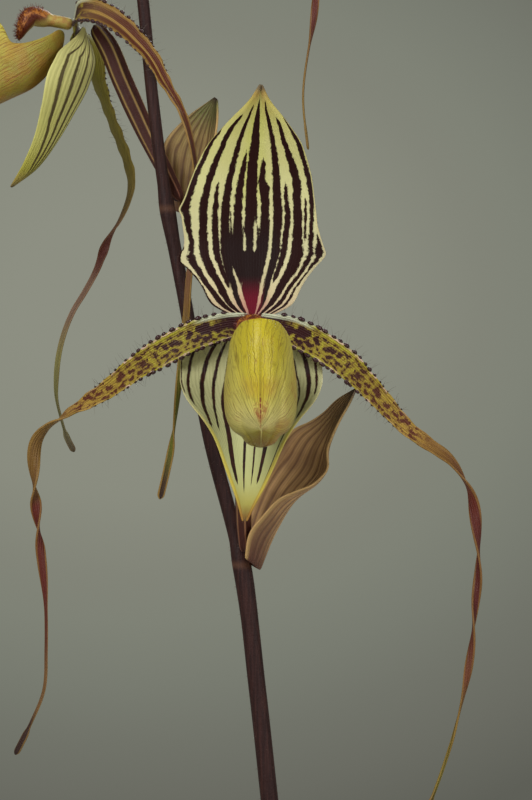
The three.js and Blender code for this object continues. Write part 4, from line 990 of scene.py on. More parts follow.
def petal_pattern():
    """Yellow-green with fine veins and rows of maroon blotches, turning ochre with a red-brown mesh
    further out, and to the colour of its own tail."""
    tree, paint, given, made = node_group(
        "petal_pattern", {"Vector": "Vector", "Along": 0, "Side": 0, "Tail": "Color", "Tail Start": 54,
                          "Tail Edge": 0.5}, ("Color", "Height"))
    row = blotch_row()
    along, side = given["Along"], given["Side"]
    wing = abs(side)
    share = along * (1 / PETAL_MAP_LENGTH)
    half_width = share.ramp(*((distance / PETAL_MAP_LENGTH, width / 10) for distance, width in PETAL_WIDTH))
    across = side * (half_width * 5)
    flat = paint.flat(along, across)
    rough = flat.noise(0.8, 5, 0.75) - 0.5
    jag = rough * 3
    drift = paint.read("TexNoise", {"Vector": flat, "Scale": 0.3, "Detail": 2, "Roughness": 0.6}, "Color")
    drift_along, drift_across, _ = drift.channels()
    spot_along = along + (drift_along * 5 - 2.5)
    spot_across = across + (drift_across * 3.6 - 1.8)
    lines = veins(share * 6, across * 0.13, 13, 0.8, 0.55)
    ground = share.ramp((0, 160, 158, 60), (0.05, 170, 164, 48), (0.13, 172, 162, 44), (0.18, 180, 160, 50),
                        (0.24, 180, 146, 58), (0.3, 170, 128, 60))
    ground = ground.toward((124, 112, 30), lines["Lines"] * 0.4)
    out = along.between(26, 46)
    reach = along.between(15, 3) * 0.8 + (out * -0.45 + 1.1)
    stretch = out * 1.4 + 1.5
    rows = [(3.9, 0.45, reach, stretch, 0.4, 1.3), (3.1, -1.7, 0.55, 2, 0.7, 1),
            (3.4, 2.3, 0.4, 2.8, 0.1, 0.9), (2.6, -2.9, 0.34, 2.2, 0.3, 0.7)]
    spots = halo = 0
    for pitch, place, size, longer, seed, jags in rows:
        blotch = paint.group(row, along=spot_along, across=spot_across, pitch=pitch, row=place, reach=size,
                             stretch=longer, seed=seed, jag=jag * jags)
        spots = blotch["Mask"].most(spots)
        halo = blotch["Halo"].most(halo)
    soft = halo * 0.65 * wing.between(0.98, 0.8)
    ground = ground.toward((122, 78, 42), soft * along.between(56, 30))
    throat = along.between(9.5, 6) * across.between(-1.6, -0.4) * rough.between(-0.22, -0.06)
    spots = spots.most(throat) * wing.between(0.96, 0.82)
    dark = share.ramp((0, 52, 10, 16), (0.08, 50, 14, 14), (0.13, 60, 26, 16), (0.19, 80, 38, 20),
                      (0.28, 96, 44, 26))
    colour = ground.toward(dark, spots * along.between(66, 54))
    net = paint.read("TexVoronoi", {"Vector": paint.flat(along * 0.2, across * 1.1), "Scale": 1}, "Distance",
                     feature="DISTANCE_TO_EDGE", voronoi_dimensions="2D")
    mesh = (rough * 0.22 + net).between(0.17, 0.05) * (out * along.between(70, 60))
    colour = colour.toward((96, 50, 28), mesh * 0.45)
    bits = wing.between(0.84, 0.95) * along.between(56, 34) * flat.noise(0.5, 2).between(0.46, 0.6)
    colour = colour.toward((216, 180, 166), bits * 0.85)
    upper = side.between(0.62, 0.8) * along.between(15, 11)
    colour = colour.toward((200, 204, 176), upper * 0.9)
    streak = paint.flat(along * 0.12, across * 2)
    shade = streak.noise(1).between(0.4, 0.62)
    tail = given["Tail"].toward(given["Tail"].toward((70, 30, 22), 0.5), shade * 0.45)
    uneven = streak.noise(0.7, 2) * 0.7 - 0.35
    edge = (wing + uneven).between(0.55, 0.85)
    tail = tail.toward((150, 116, 54), edge * given["Tail Edge"])
    light = abs(side + uneven * 0.5).between(0.2, 0.06) * given["Tail Edge"]
    tail = tail.toward((164, 128, 62), light * along.between(80, 40))
    tail_share = (along - given["Tail Start"]).between(0, 12)
    paint.feed(made["Color"], colour.toward(tail, tail_share))
    grain = paint.group(GRAIN, vector=given["Vector"], scale=1)
    paint.feed(made["Height"], lines["Height"] * 0.35 + grain["Height"])
    return tree


PETAL_PATTERN = petal_pattern()


def petal_skin(name, tail_colours):
    paint = material(f"petal_skin_{name}")
    u, v = paint.shares()
    tail = u.ramp(*((distance / PETAL_MAP_LENGTH, *colour) for distance, *colour in tail_colours))
    pattern = paint.group(PETAL_PATTERN, vector=paint.place(), along=u * PETAL_MAP_LENGTH, side=v * 2 - 1,
                          tail=tail, tail_start=TAIL_STARTS.get(name, TAIL_START),
                          tail_edge=TAIL_EDGES.get(name, TAIL_EDGE))
    return paint.surface(pattern["Color"], 0.52, pattern["Height"], 0.00015, shine=0.3)


def pouch_skin():
    """Waxy yellow, golden down the front, with upright lines and a net of olive and brown veins."""
    paint, turn, drop, grain = skin("pouch_skin")
    side = turn * 2 - 1
    around = abs(side)
    place = paint.place()
    waver = place.noise(140) - 0.5
    ground = around.ramp((0, 202, 188, 52), (0.1, 202, 190, 68), (0.2, 198, 186, 82), (0.35, 188, 174, 76),
                         (0.55, 162, 152, 56), (0.8, 146, 132, 48), (1, 136, 106, 50))
    # Paler low on the front: partly the pouch's own cream colour, partly painted light against the shade on
    # its lower, downward-curving front.
    low = drop.between(0.34, 0.66) * around.between(0.75, 0.25)
    ground = ground.toward((222, 212, 140), low * 0.85)
    ochre = abs(drop - 0.36).between(0.09, 0.02) * around.between(0.2, 0.08)
    ground = ground.toward((192, 150, 66), ochre * 0.55)
    ground = ground.toward((178, 160, 74), grain["Cloud"] * 0.25)
    warm = place.noise(130, 2).between(0.42, 0.62) * (side.between(0, 0.3) * 0.35 + 0.12)
    ground = ground.toward((176, 116, 44), warm * around.between(0.18, 0.4))
    torn = paint.flat(side * 60, drop * 5).noise(1) - 0.5
    band = drop.ramp((0, 0.2), (0.12, 0.16), (0.3, 0.1), (0.42, 0.05), (0.5, 0))
    loose = drop.between(0.15, 0.45) * 0.22 + 0.05
    inside = torn * loose + band - around
    gold = inside.between(-0.08, 0.08) * drop.between(0.56, 0.4)
    ground = ground.toward((192, 172, 14), gold * 0.6)
    wander = waver * 0.08 + side
    lines = veins(drop * 0.6, wander, 26, 1.6, 0.26)["Lines"]
    net = paint.read("TexVoronoi", {"Vector": paint.flat(wander * 46, drop * 5), "Scale": 1,
                                    "Randomness": 0.9}, "Distance", feature="DISTANCE_TO_EDGE",
                     voronoi_dimensions="2D")
    faint = place.noise(330) * 1.5
    web = paint.math("MULTIPLY", lines.most(net.between(0.1, 0) * 0.6), faint, clamp=True)
    rusty = place.noise(160, 2).between(0.5, 0.66).most(side.between(0.15, 0.4))
    hue = paint.mix(rusty, (112, 84, 24), (138, 74, 28))
    colour = ground.toward(hue, web * (around.between(0.12, 0.3) * 0.2 + 0.7))
    # Painted shade: a thin darker olive line down each groove beside the middle lobe, where shade falls.
    groove_shade = abs(around - 0.185).between(0.012, 0.003) * drop.between(0.4, 0.55)
    colour = colour.toward((128, 112, 44), groove_shade * 0.7)
    blush = abs(drop - 0.56).between(0.15, 0.02) * around.between(0.14, 0.02)
    blush = blush * place.noise(300).between(0.35, 0.6)
    colour = colour.toward((176, 92, 44), blush * 0.7)
    dashes = drop.between(0.38, 0.46) * paint.math("FRACT", drop * 26).between(0.75, 0.6) + 0.45
    centre = (waver * 0.012 + around).between(0.013, 0.004) * drop.between(0.05, 0.2)
    keel = paint.mix(drop.between(0.38, 0.46), (116, 100, 20), (138, 66, 40))
    colour = colour.toward(keel, paint.math("MULTIPLY", centre, dashes, clamp=True))
    flecks = place.noise(640, 2).between(0.53, 0.6) * abs(around - 0.06).between(0.05, 0.02)
    flecks = flecks * (drop.between(0.42, 0.48) * drop.between(0.68, 0.62))
    colour = colour.toward((146, 50, 34), flecks * 0.5)
    return paint.surface(colour, 0.42, web * -0.5 + grain["Height"], 0.00018, shine=0.4)


def column_skin():
    """Pale yellow above, with the sides of its hood dark red-brown and their lower edge mottled."""
    paint, u, v, grain = skin("column_skin", 1.4)
    top = abs(v - 0.25)
    crest = top.between(u.ramp((0.4, 0.3), (0.6, 0.14), (0.85, 0.09), (1, 0.05)), 0)
    mottled = paint.place().noise(520).between(0.4, 0.6)
    lower = paint.mix(mottled, (92, 30, 18), (196, 122, 46))
    dark = paint.mix(top.between(0.2, 0.34) * 0.8, (92, 30, 18), lower)
    stalk = paint.mix(mottled, (196, 176, 92), (184, 140, 76))
    colour = stalk.toward(dark.toward((222, 204, 112), crest), u.between(0.34, 0.42))
    colour = colour.toward((150, 84, 36), u.between(0.93, 1))
    colour = colour.toward((150, 110, 50), grain["Cloud"] * 0.2)
    return paint.surface(colour, 0.5, grain["Height"], shine=0.35)


def ovary_skin():
    """Brown-maroon with tan ribs along it."""
    paint, u, v, grain = skin("ovary_skin")
    dark = paint.mix(grain["Cloud"] * 0.6, (54, 22, 18), (84, 42, 30))
    tan = u.ramp((0, 130, 76, 60), (0.35, 158, 126, 76), (1, 162, 136, 78))
    colour = dark.toward(tan, veins(u, v, OVARY_RIBS, 0.14, 0.36)["Lines"] * 0.9)
    return paint.surface(colour, 0.6, grain["Height"], shine=0.25)


def scape_skin():
    """Nearly black maroon, streaked along it, green low down, with a faint ring at each knob."""
    paint = material("scape_skin")
    place = paint.place()
    height = place.parts()[2]
    streaks = place.stretched(1500, 1500, 90).noise(1)
    colour = paint.mix(streaks.between(0.35, 0.7), (38, 16, 15), (58, 30, 26))
    colour = colour.toward((70, 78, 38), height.between(0.3, 0.15) * 0.85)
    for level in SCAPE_KNOBS:
        colour = colour.toward((120, 82, 60), abs(height - level * MM).between(0.0018, 0) * 0.35)
    grain = paint.group(GRAIN, vector=place, scale=1)
    return paint.surface(colour, 0.6, streaks * 0.7 + grain["Height"], shine=0.25)


def bract_skin(name, tan, vein, tip):
    """Dry and papery with parallel darker veins, olive at the tip, maroon low outside."""
    paint, u, v, grain = skin(name, 0.8)
    lines, fine, broad = (veins(u, v, *kind) for kind in ((11, 0.5, 0.55), (37, 0.8, 0.5), (7, 0.4, 0.7)))
    ground = u.ramp((0, 96, 52, 34), (0.2, *tan), (0.65, *tan), (0.84, *tip), (0.93, *tip),
                    (0.99, 70, 56, 34))
    ground = ground.toward((124, 82, 48), paint.place().noise(60).between(0.4, 0.65) * 0.5)
    colour = ground.toward(vein, lines["Lines"] * 0.75).toward((80, 40, 28), fine["Lines"] * 0.25)
    low = u.between(0.5, 0.15) * v.between(0.55, 0.8)
    colour = colour.toward((72, 32, 26), low * 0.6).toward((96, 56, 34), broad["Lines"] * 0.3)
    margin = v.between(0.93, 0.98) * u.between(0.98, 0.8) * 0.85
    colour = colour.toward((196, 158, 100), margin.most(v.between(0.05, 0.02) * 0.6))
    return paint.surface(colour, 0.6, lines["Height"] * 0.8 + grain["Height"])


def leaf_skin():
    """Glossy green, with a darker midrib, faint parallel veins and cloudy darker patches."""
    paint, u, v, grain = skin("leaf_skin", 0.35)
    fine = veins(u, v, 44, 0.9, 0.6)
    wing = abs(v * 2 - 1)
    colour = paint.mix(paint.place().noise(34, 4).between(0.35, 0.65), (58, 92, 38), (78, 112, 48))
    colour = colour.toward((92, 126, 58), fine["Lines"] * 0.25)
    colour = colour.toward((40, 66, 28), wing.between(0.035, 0.01) * 0.5)
    colour = colour.toward((128, 146, 78), wing.between(0.95, 0.99) * 0.6)
    colour = colour.toward((124, 138, 70), u.between(0.2, 0.04)).toward((120, 104, 56), u.between(0.985, 1))
    return paint.surface(colour, 0.34, fine["Height"] * 0.4 + grain["Height"],
                         **{"Coat Weight": 0.15, "Coat Roughness": 0.25})


def wart_skin():
    paint = material("wart_skin")
    grain = paint.group(GRAIN, vector=paint.place(), scale=2)
    return paint.surface(paint.mix(grain["Cloud"], (34, 12, 18), (66, 24, 30)), 0.34, grain["Height"], 0.0001)


def hair_skin(name, dark, pale):
    paint = material(name)
    return paint.surface(paint.mix(paint.place().noise(260, 2), dark, pale), 0.45)


def clay_skin():
    """Fired clay, with faint turning rings and a chalky bloom low on the wall."""
    paint = material("fired_clay")
    place = paint.place()
    z = place.parts()[2]
    colour = paint.mix(place.noise(16, 6, 0.6).between(0.3, 0.7), (160, 88, 58), (190, 116, 82))
    chalk = place.noise(24, 8, 0.7).between(0.5, 0.7) * z.between(0.1, 0)
    colour = colour.toward((214, 196, 178), chalk * 0.7)
    damp = z.between(0.135, 0.122) * z.between(0.1, 0.122)
    colour = colour.toward((120, 66, 46), damp * 0.18)
    colour = colour.toward((110, 62, 44), place.noise(700, 2).between(0.62, 0.72) * 0.4)
    rings = place.stretched(6, 6, 520).noise(1, 2)
    return paint.surface(colour, 0.86, rings * 0.8 + place.noise(900, 4), 0.0004)


def bark_skin():
    """Fir bark: each chip its own brown, layered along its length."""
    paint = material("bark_chips")
    own = paint.read("Attribute", output="Fac", attribute_name="shade")
    layers = paint.place().stretched(300, 300, 900).noise(1, 5, 0.65)
    colour = own.ramp((0, 58, 36, 24), (0.35, 92, 58, 36), (0.7, 124, 80, 50), (1, 150, 108, 74))
    return paint.surface(colour.toward((52, 32, 22), layers.between(0.45, 0.7)), 0.92, layers, 0.0008)


def root_skin():
    paint = material("root_skin")
    fuzz = paint.place().noise(1400, 4)
    return paint.surface(paint.mix(fuzz, (92, 70, 52), (146, 118, 86)), 0.9, fuzz, 0.0004)


SKIN = {
    "dorsal": dorsal_skin(),
    "synsepal": synsepal_skin(),
    "folded_synsepal": folded_synsepal_skin(),
    "wart": wart_skin(),
    "pouch": pouch_skin(),
    "column": column_skin(),
    "ovary": ovary_skin(),
    "scape": scape_skin(),
    "leaf": leaf_skin(),
    "clay": clay_skin(),
    "bark": bark_skin(),
    "root": root_skin(),
    "dark_hair": hair_skin("dark_hair", (64, 52, 44), (108, 96, 84)),
    "red_hair": hair_skin("red_hair", (72, 14, 18), (128, 40, 24)),
    "pale_hair": hair_skin("pale_hair", (70, 44, 38), (120, 92, 74)),
}
BRACT_SKINS = {
    # Bract A's orange-tan is set lighter than its own colour: painted light against the shade inside its
    # hollow.
    "a": bract_skin("orange_bract_skin", (208, 164, 108), (104, 62, 36), (128, 102, 58)),
    "b": bract_skin("olive_bract_skin", (174, 148, 90), (88, 50, 30), (120, 122, 64)),
}
PETAL_SKINS = {name: petal_skin(name, colours) for name, colours in TAIL_COLOURS.items()}


# Studio


def set_camera():
    bpy.ops.object.camera_add(location=CAMERA_PLACE, rotation=(math.pi / 2, 0, 0))
    camera = bpy.context.object
    camera.data.lens = CAMERA_LENS
    camera.data.sensor_width = 36
    camera.data.clip_start = 0.01
    bpy.context.scene.camera = camera


def soft_light(place, aim, width, power):
    """A disc of light, turned to its aim and unseen by the camera."""
    bpy.ops.object.light_add(type="AREA", location=place)
    lamp = bpy.context.object
    lamp.data.shape = "DISK"
    lamp.data.size = width
    lamp.data.energy = power
    reach = [a - p for a, p in zip(aim, place)]
    flat = math.hypot(reach[0], reach[1])
    lamp.rotation_euler = (math.pi / 2 + math.atan2(reach[2], flat), 0, math.atan2(-reach[0], reach[1]))
    lamp.visible_camera = False


def set_studio():
    """A grey backdrop with painted light, a glow behind the bloom and lighter low down, three soft lights and
    a pale floor.
    """
    bpy.context.scene.view_settings.view_transform = "Standard"
    world = bpy.data.worlds.new("studio")
    world.use_nodes = True
    bpy.context.scene.world = world
    world.node_tree.nodes.clear()
    paint = Paint(world.node_tree)
    ray = paint.read("TexCoord", output="Generated")
    # Painted light on the backdrop: lighter below the horizon, darker above it.
    room = (ray.parts()[2] * 0.5 + 0.5).ramp((0, 150, 150, 142), (0.45, 136, 138, 130), (0.58, 114, 115, 105),
                                             (0.8, 120, 121, 112))
    off = paint.read("VectorMath", {0: ray, 1: BACKDROP_MIDDLE}, operation="SUBTRACT")
    # Painted pool of light on the backdrop behind the bloom, falling off outwards.
    away = paint.read("VectorMath", {0: off.stretched(1, 1, 1.25)}, "Value", operation="LENGTH")
    glow = away.ramp((0.05, 141, 143, 130), (0.11, 138, 140, 127), (0.155, 130, 132, 120),
                     (0.18, 127, 130, 118), (0.215, 120, 123, 112), (0.245, 113, 115, 105),
                     (0.28, 106, 107, 98), (0.32, 94, 95, 87), (0.36, 94, 95, 87))
    back = paint.read("Background", {"Color": glow.toward(room, away.between(0.34, 0.6)), "Strength": 1})
    paint.feed(paint.add("OutputWorld").inputs["Surface"], back)
    for place, aim, width, power in LAMPS:
        soft_light(place, aim, width, power)
    bpy.ops.mesh.primitive_circle_add(vertices=128, radius=FLOOR_RADIUS, fill_type="NGON",
                                      location=(0, 0, FLOOR_LEVEL))
    floor = bpy.context.object
    floor.name = "floor"
    paint = material("pale_floor")
    tone = paint.mix(paint.place().noise(3), (196, 196, 190), (202, 202, 197))
    floor.data.materials.append(paint.surface(tone, 0.8))


# Pot and medium


def pot_inside(height):
    low = POT_FOOT_RADIUS - POT_WALL
    high = POT_RIM_RADIUS - POT_WALL - 2.5
    return mix(low, high, (height - POT_FLOOR) / (POT_HEIGHT - POT_FLOOR))


def turned(name, profile, sides):
    """A circle drawn out ring by ring through (radius, height) pairs, and its ends filled."""
    deselect()
    radius, height = profile[0]
    bpy.ops.mesh.primitive_circle_add(vertices=sides, radius=radius * MM, location=(0, 0, height * MM))
    piece = bpy.context.object
    bpy.ops.object.transform_apply(location=True, rotation=False, scale=False)
    piece.name = piece.data.name = name
    bpy.ops.object.mode_set(mode="EDIT")
    bpy.ops.mesh.select_all(action="SELECT")
    for wider, higher in profile[1:]:
        rise = (higher - height) * MM
        bpy.ops.mesh.extrude_region_move(TRANSFORM_OT_translate={"value": (0, 0, rise)})
        spread = wider / radius
        bpy.ops.transform.resize(value=(spread, spread, 1), center_override=(0, 0, higher * MM))
        radius, height = wider, higher
    bpy.ops.mesh.select_all(action="DESELECT")
    bpy.ops.mesh.select_non_manifold()
    bpy.ops.mesh.fill_holes(sides=0)
    bpy.ops.mesh.select_all(action="SELECT")
    bpy.ops.mesh.normals_make_consistent(inside=False)
    bpy.ops.object.mode_set(mode="OBJECT")
    return piece


def cut(piece, cutter):
    give(piece, "BOOLEAN", object=cutter, operation="DIFFERENCE", solver="EXACT")
    bpy.data.objects.remove(cutter)


def make_pot():
    """A turned pot with a rim band, four drain holes and four grooves across its foot."""
    band_foot = POT_HEIGHT - RIM_BAND_HEIGHT
    neck = POT_RIM_RADIUS - 7.5
    low, high = pot_inside(POT_FLOOR), pot_inside(POT_HEIGHT)
    profile = [(POT_FOOT_RADIUS - 1.5, 0), (POT_FOOT_RADIUS, 1.5),
               (mix(POT_FOOT_RADIUS, neck, 0.5), 0.5 * band_foot), (neck, band_foot),
               (POT_RIM_RADIUS - 3, band_foot), (POT_RIM_RADIUS - 1.6, band_foot + 2),
               (POT_RIM_RADIUS, POT_HEIGHT - 3), (POT_RIM_RADIUS - 1.5, POT_HEIGHT), (high + 1.5, POT_HEIGHT),
               (high - 0.3, POT_HEIGHT - 2), (mix(low, high, 0.5), mix(POT_FLOOR, POT_HEIGHT - 2, 0.5)),
               (low + 0.6, POT_FLOOR + 3), (low - 2.4, POT_FLOOR)]
    pot = turned("clay_pot", profile, 144)
    for k in range(4):
        angle = math.pi / 4 + k * math.pi / 2
        bpy.ops.mesh.primitive_cylinder_add(
            vertices=32, radius=DRAIN_RADIUS * MM, depth=4 * POT_FLOOR * MM,
            location=(DRAIN_DISTANCE * MM * math.cos(angle), DRAIN_DISTANCE * MM * math.sin(angle), 0))
        cut(pot, bpy.context.object)
        reach = POT_FOOT_RADIUS + 4 - FOOT_DISC_RADIUS
        middle = (FOOT_DISC_RADIUS + reach / 2) * MM
        bpy.ops.mesh.primitive_cube_add(
            size=MM, location=(middle * math.cos(angle), middle * math.sin(angle), 0),
            rotation=(0, 0, angle), scale=(reach, FOOT_GROOVE_WIDTH, 2 * FOOT_GROOVE_DEPTH))
        cut(pot, bpy.context.object)
    give(pot, "BEVEL", width=0.5 * MM, segments=2, limit_method="ANGLE", angle_limit=math.radians(28))
    finish(pot, SKIN["clay"], "clay", "pot", angle=32)


def chip_pattern(seed):
    """A splinter of bark a unit across: a block with one cut each way, knocked about."""
    deselect()
    bpy.ops.mesh.primitive_cube_add(size=1)
    chip = bpy.context.object
    edit(chip, (bpy.ops.mesh.subdivide, {"number_cuts": 1}),
         (bpy.ops.transform.vertex_random, {"offset": 0.17, "uniform": 0.6, "normal": 0.2, "seed": seed}),
         (bpy.ops.mesh.normals_make_consistent, {"inside": False}))
    return chip


def make_bark():
    """A bed with a well for the crown, covered in loose chips."""
    rng = np.random.default_rng(BARK_SEED)
    bed_top = BARK_LEVEL - 2.5
    foot = POT_FLOOR + GAP
    profile = [(CROWN_WELL + 1.5, bed_top - 22), (CROWN_WELL + 1.5, bed_top - 2), (CROWN_WELL + 4, bed_top),
               (pot_inside(bed_top) - GAP - 1, bed_top), (pot_inside(foot) - GAP, foot)]
    bed = turned("bark_bed", profile, 72)
    finish(bed, SKIN["bark"], "bark", angle=40)
    shares = (np.arange(CHIP_COUNT) + 0.5) / CHIP_COUNT
    reach = mix(CROWN_WELL + 5.5, pot_inside(BARK_LEVEL) - 7, np.sqrt(shares) * 0.5 + shares * 0.5)
    around = np.arange(CHIP_COUNT) * GOLDEN_ANGLE
    heights = BARK_LEVEL + rng.uniform(*CHIP_HEIGHTS, CHIP_COUNT) - 4 * ease((30 - reach) / 6)
    points = np.stack([reach * np.cos(around), reach * np.sin(around), heights], -1)
    scales = np.stack([rng.uniform(*limits, CHIP_COUNT) for limits in CHIP_SIZES], -1)
    normals = unit(rng.normal(size=(CHIP_COUNT, 3)) * (0.34, 0.34, 0) + (0, 0, 1))
    headings = unit(np.cross(normals, unit(rng.normal(size=(CHIP_COUNT, 3)))))
    frames = np.stack([headings, np.cross(normals, headings), normals], 1)
    shades = rng.uniform(0, 1, CHIP_COUNT)
    parts = []
    for kind in range(CHIP_KINDS):
        some = slice(kind, None, CHIP_KINDS)
        part = repeated("bark_chips", chip_pattern(kind), points[some], scales[some], frames[some])
        layer = part.data.attributes.new("shade", "FLOAT", "POINT")
        own = np.repeat(shades[some], len(part.data.vertices) // len(shades[some]))
        layer.data.foreach_set("value", own.astype(np.float32))
        parts.append(part)
    pick(*parts)
    bpy.ops.object.join()
    chips = parts[0]
    chips.name = chips.data.name = "bark_chips"
    placed = corners(chips)
    out = np.hypot(placed[:, 0], placed[:, 1])
    limit = (pot_inside(BARK_LEVEL) - 1) * MM
    well = CROWN_WELL * MM
    kept = np.clip(out, well, limit) / np.maximum(out, 1e-6)
    placed[:, 0] *= kept
    placed[:, 1] *= kept
    move_corners(chips, placed)
    finish(chips, SKIN["bark"], "bark", "bark_mix", angle=25)
    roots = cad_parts["crown_and_roots"].data
    roots.materials.clear()
    roots.materials.append(SKIN["root"])


# Leaves and stem


def make_leaf(index):
    """A leaf: its base is a trough that clasps those inside it, and opens into a keeled blade."""
    side, length, width, launch, end, sway = LEAVES[index]
    sheath_radius = SHEATH_CORE + SHEATH_PITCH * (index + 1)
    keel_reach = KEEL_CORE + SHEATH_PITCH * (index + 1)
    parting = OUTER_PARTING + PARTING_STEP * (len(LEAVES) - 1 - index)
    sheath_half_width = sheath_radius * math.pi / 2 + SHEATH_OVERLAP
    turn = math.radians(FAN_TURN)

    def heading(distance):
        share = clamp01((distance - parting) / (length - parting))
        return np.radians(90 - (90 - launch) * ease(share / 0.3) - (launch - end) * share**1.4)

    marks = np.linspace(0, length, 2 * length + 1)
    middles = heading((marks[1:] + marks[:-1]) / 2)
    outs = keel_reach + np.concatenate([[0], np.cumsum(np.cos(middles) * np.diff(marks))])
    heights = CROWN_LEVEL + GAP + np.concatenate([[0], np.cumsum(np.sin(middles) * np.diff(marks))])

    def place(u, v):
        open_share = clamp01((u - 0.25) / 0.75)
        distance = np.where(u < 0.25, u / 0.25 * parting, parting + (length - parting) * open_share**1.15)
        share = clamp01((distance - parting) / (length - parting))
        half_width = mix(sheath_half_width, width / 2, ease((share - 0.05) / 0.3))
        half_width = half_width * np.sqrt(1 - 0.985 * clamp01((share - 0.55) / 0.45) ** 2.4)
        opened = ease((share - 0.05) / 0.3)
        bend = np.radians(mix(90, 20, opened))
        keel_round = mix(sheath_radius, 4, opened)
        across = 2 * v - 1
        reach = np.abs(across) * half_width
        curved = np.minimum(reach, keel_round * bend)
        sideways = keel_round * np.sin(curved / keel_round) + (reach - curved) * np.cos(bend)
        rise = keel_round * (1 - np.cos(curved / keel_round)) + (reach - curved) * np.sin(bend)
        ripple = 0.9 * np.abs(across) ** 2 * ease((share - 0.3) / 0.3)
        rise = rise + ripple * np.sin(distance / 17 + index + 1.5 * np.sign(across))
        angle = heading(distance)
        x = side * (np.interp(distance, marks, outs) - np.sin(angle) * rise)
        y = np.sign(across) * sideways + sway * np.maximum(0, share - 0.12) ** 1.6
        z = np.interp(distance, marks, heights) + np.cos(angle) * rise
        return np.stack([x * math.cos(turn) - y * math.sin(turn),
                         x * math.sin(turn) + y * math.cos(turn), z], -1)

    piece = blade(f"leaf_blade_{index + 1}", LEAF_GRID, place, LEAF_THICKNESS)
    finish(piece, SKIN["leaf"], "leaf", f"leaf_{index + 1}")


class Rod:
    """A round body along a line, with its surface read by the shares along and round it."""

    def __init__(self, points, radius, ends=0.04):
        self.line = Line(points)
        self.first = self.line.carried((1, 0.2, 0))
        self.radius = radius
        self.ends = ends

    def surface(self, along, around, out=0.0):
        distance = along * self.line.length
        heading = self.line.heading(distance)
        first = self.first(distance)
        first = unit(first - heading * np.sum(first * heading, -1, keepdims=True))
        second = np.cross(heading, first)
        angle = (2 * math.pi * around)[..., None]
        normal = first * np.cos(angle) + second * np.sin(angle)
        reach = self.radius(along, around) + out
        return self.line.at(distance) + normal * reach[..., None], normal

    def place(self, u, v):
        """Closed at both ends: the last rings shrink to a point."""
        shrink = dome(np.minimum(u, 1 - u) / self.ends)
        distance = u * self.line.length
        shell, _ = self.surface(u, np.where(v >= 1, 0.0, v))
        return mix(self.line.at(distance), shell, shrink[..., None])


def rod_hairs(name, rod, count, reach, lengths, radius, slot, seed):
    """Short pale hairs all over a rod, between two shares along it."""
    rng = np.random.default_rng(seed)
    along = rng.uniform(*reach, count)
    roots, normals = rod.surface(along, rng.uniform(0, 1, count), -ROOT_DEPTH)
    directions = normals + rng.normal(size=normals.shape) * 0.25
    fuzz = hairs(name, roots, directions, rng.uniform(*lengths, count), radius, 0.3, rng)
    finish(fuzz, SKIN["pale_hair"], slot)


def make_scape():
    line = Line(SCAPE_PATH)
    thickness = graph(SCAPE_RADIUS)
    rod = Rod(SCAPE_PATH, lambda along, around: thickness(line.at(along * line.length)[..., 2]), 0.004)
    finish(round_body("flower_stem", STEM_GRID, rod.place), SKIN["scape"], "scape", "scape")
    rod_hairs("flower_stem_hairs", rod, STEM_HAIRS, (0.08, 0.995), STEM_HAIR_LENGTHS, 0.035, "scape",
              STEM_SEED)


def make_ovary(key):
    thickness = graph(OVARY_RADIUS)

    def radius(along, around):
        rib = np.cos(2 * math.pi * OVARY_RIBS * (around - 0.5 / OVARY_RIBS))
        return thickness(along) * (0.97 + 0.085 * rib)

    name = f"bloom_{key}_seed_stalk"
    rod = Rod(OVARIES[key], radius, 0.05)
    finish(round_body(name, SEED_STALK_GRID, rod.place), SKIN["ovary"], "ovary", f"bloom_{key}_ovary")
    rod_hairs(f"{name}_hairs", rod, SEED_STALK_HAIRS, (0.03, 0.97), SEED_STALK_HAIR_LENGTHS, 0.03,
              "ovary", SEED_STALK_SEED)


def make_bract(key):
    """A boat of dry skin between its two edges and its keel, hollow between them."""
    lines = [Line(BRACTS[key][edge]) for edge in ("far", "keel", "near")]

    def place(u, v):
        far, keel, near = (line.at(u * line.length) for line in lines)
        across = (2 * v - 1)[:, None]
        wing = np.abs(across)
        edge = np.where(across < 0, far, near)
        between = (far + near) / 2
        ripple = 0.35 * wing**2 * np.sin(26 * u + 3 * np.sign(across[:, 0]))[:, None]
        hollow = 0.16 * np.sin(math.pi * wing) + 0.02 * ripple
        return mix(keel, edge, wing) - (between - keel) * hollow

    piece = blade(f"bract_blade_{key}", BRACT_GRID, place, BRACT_THICKNESS)
    finish(piece, BRACT_SKINS.get(key, BRACT_SKINS["b"]), "bract", f"bract_{key}")


# Blooms


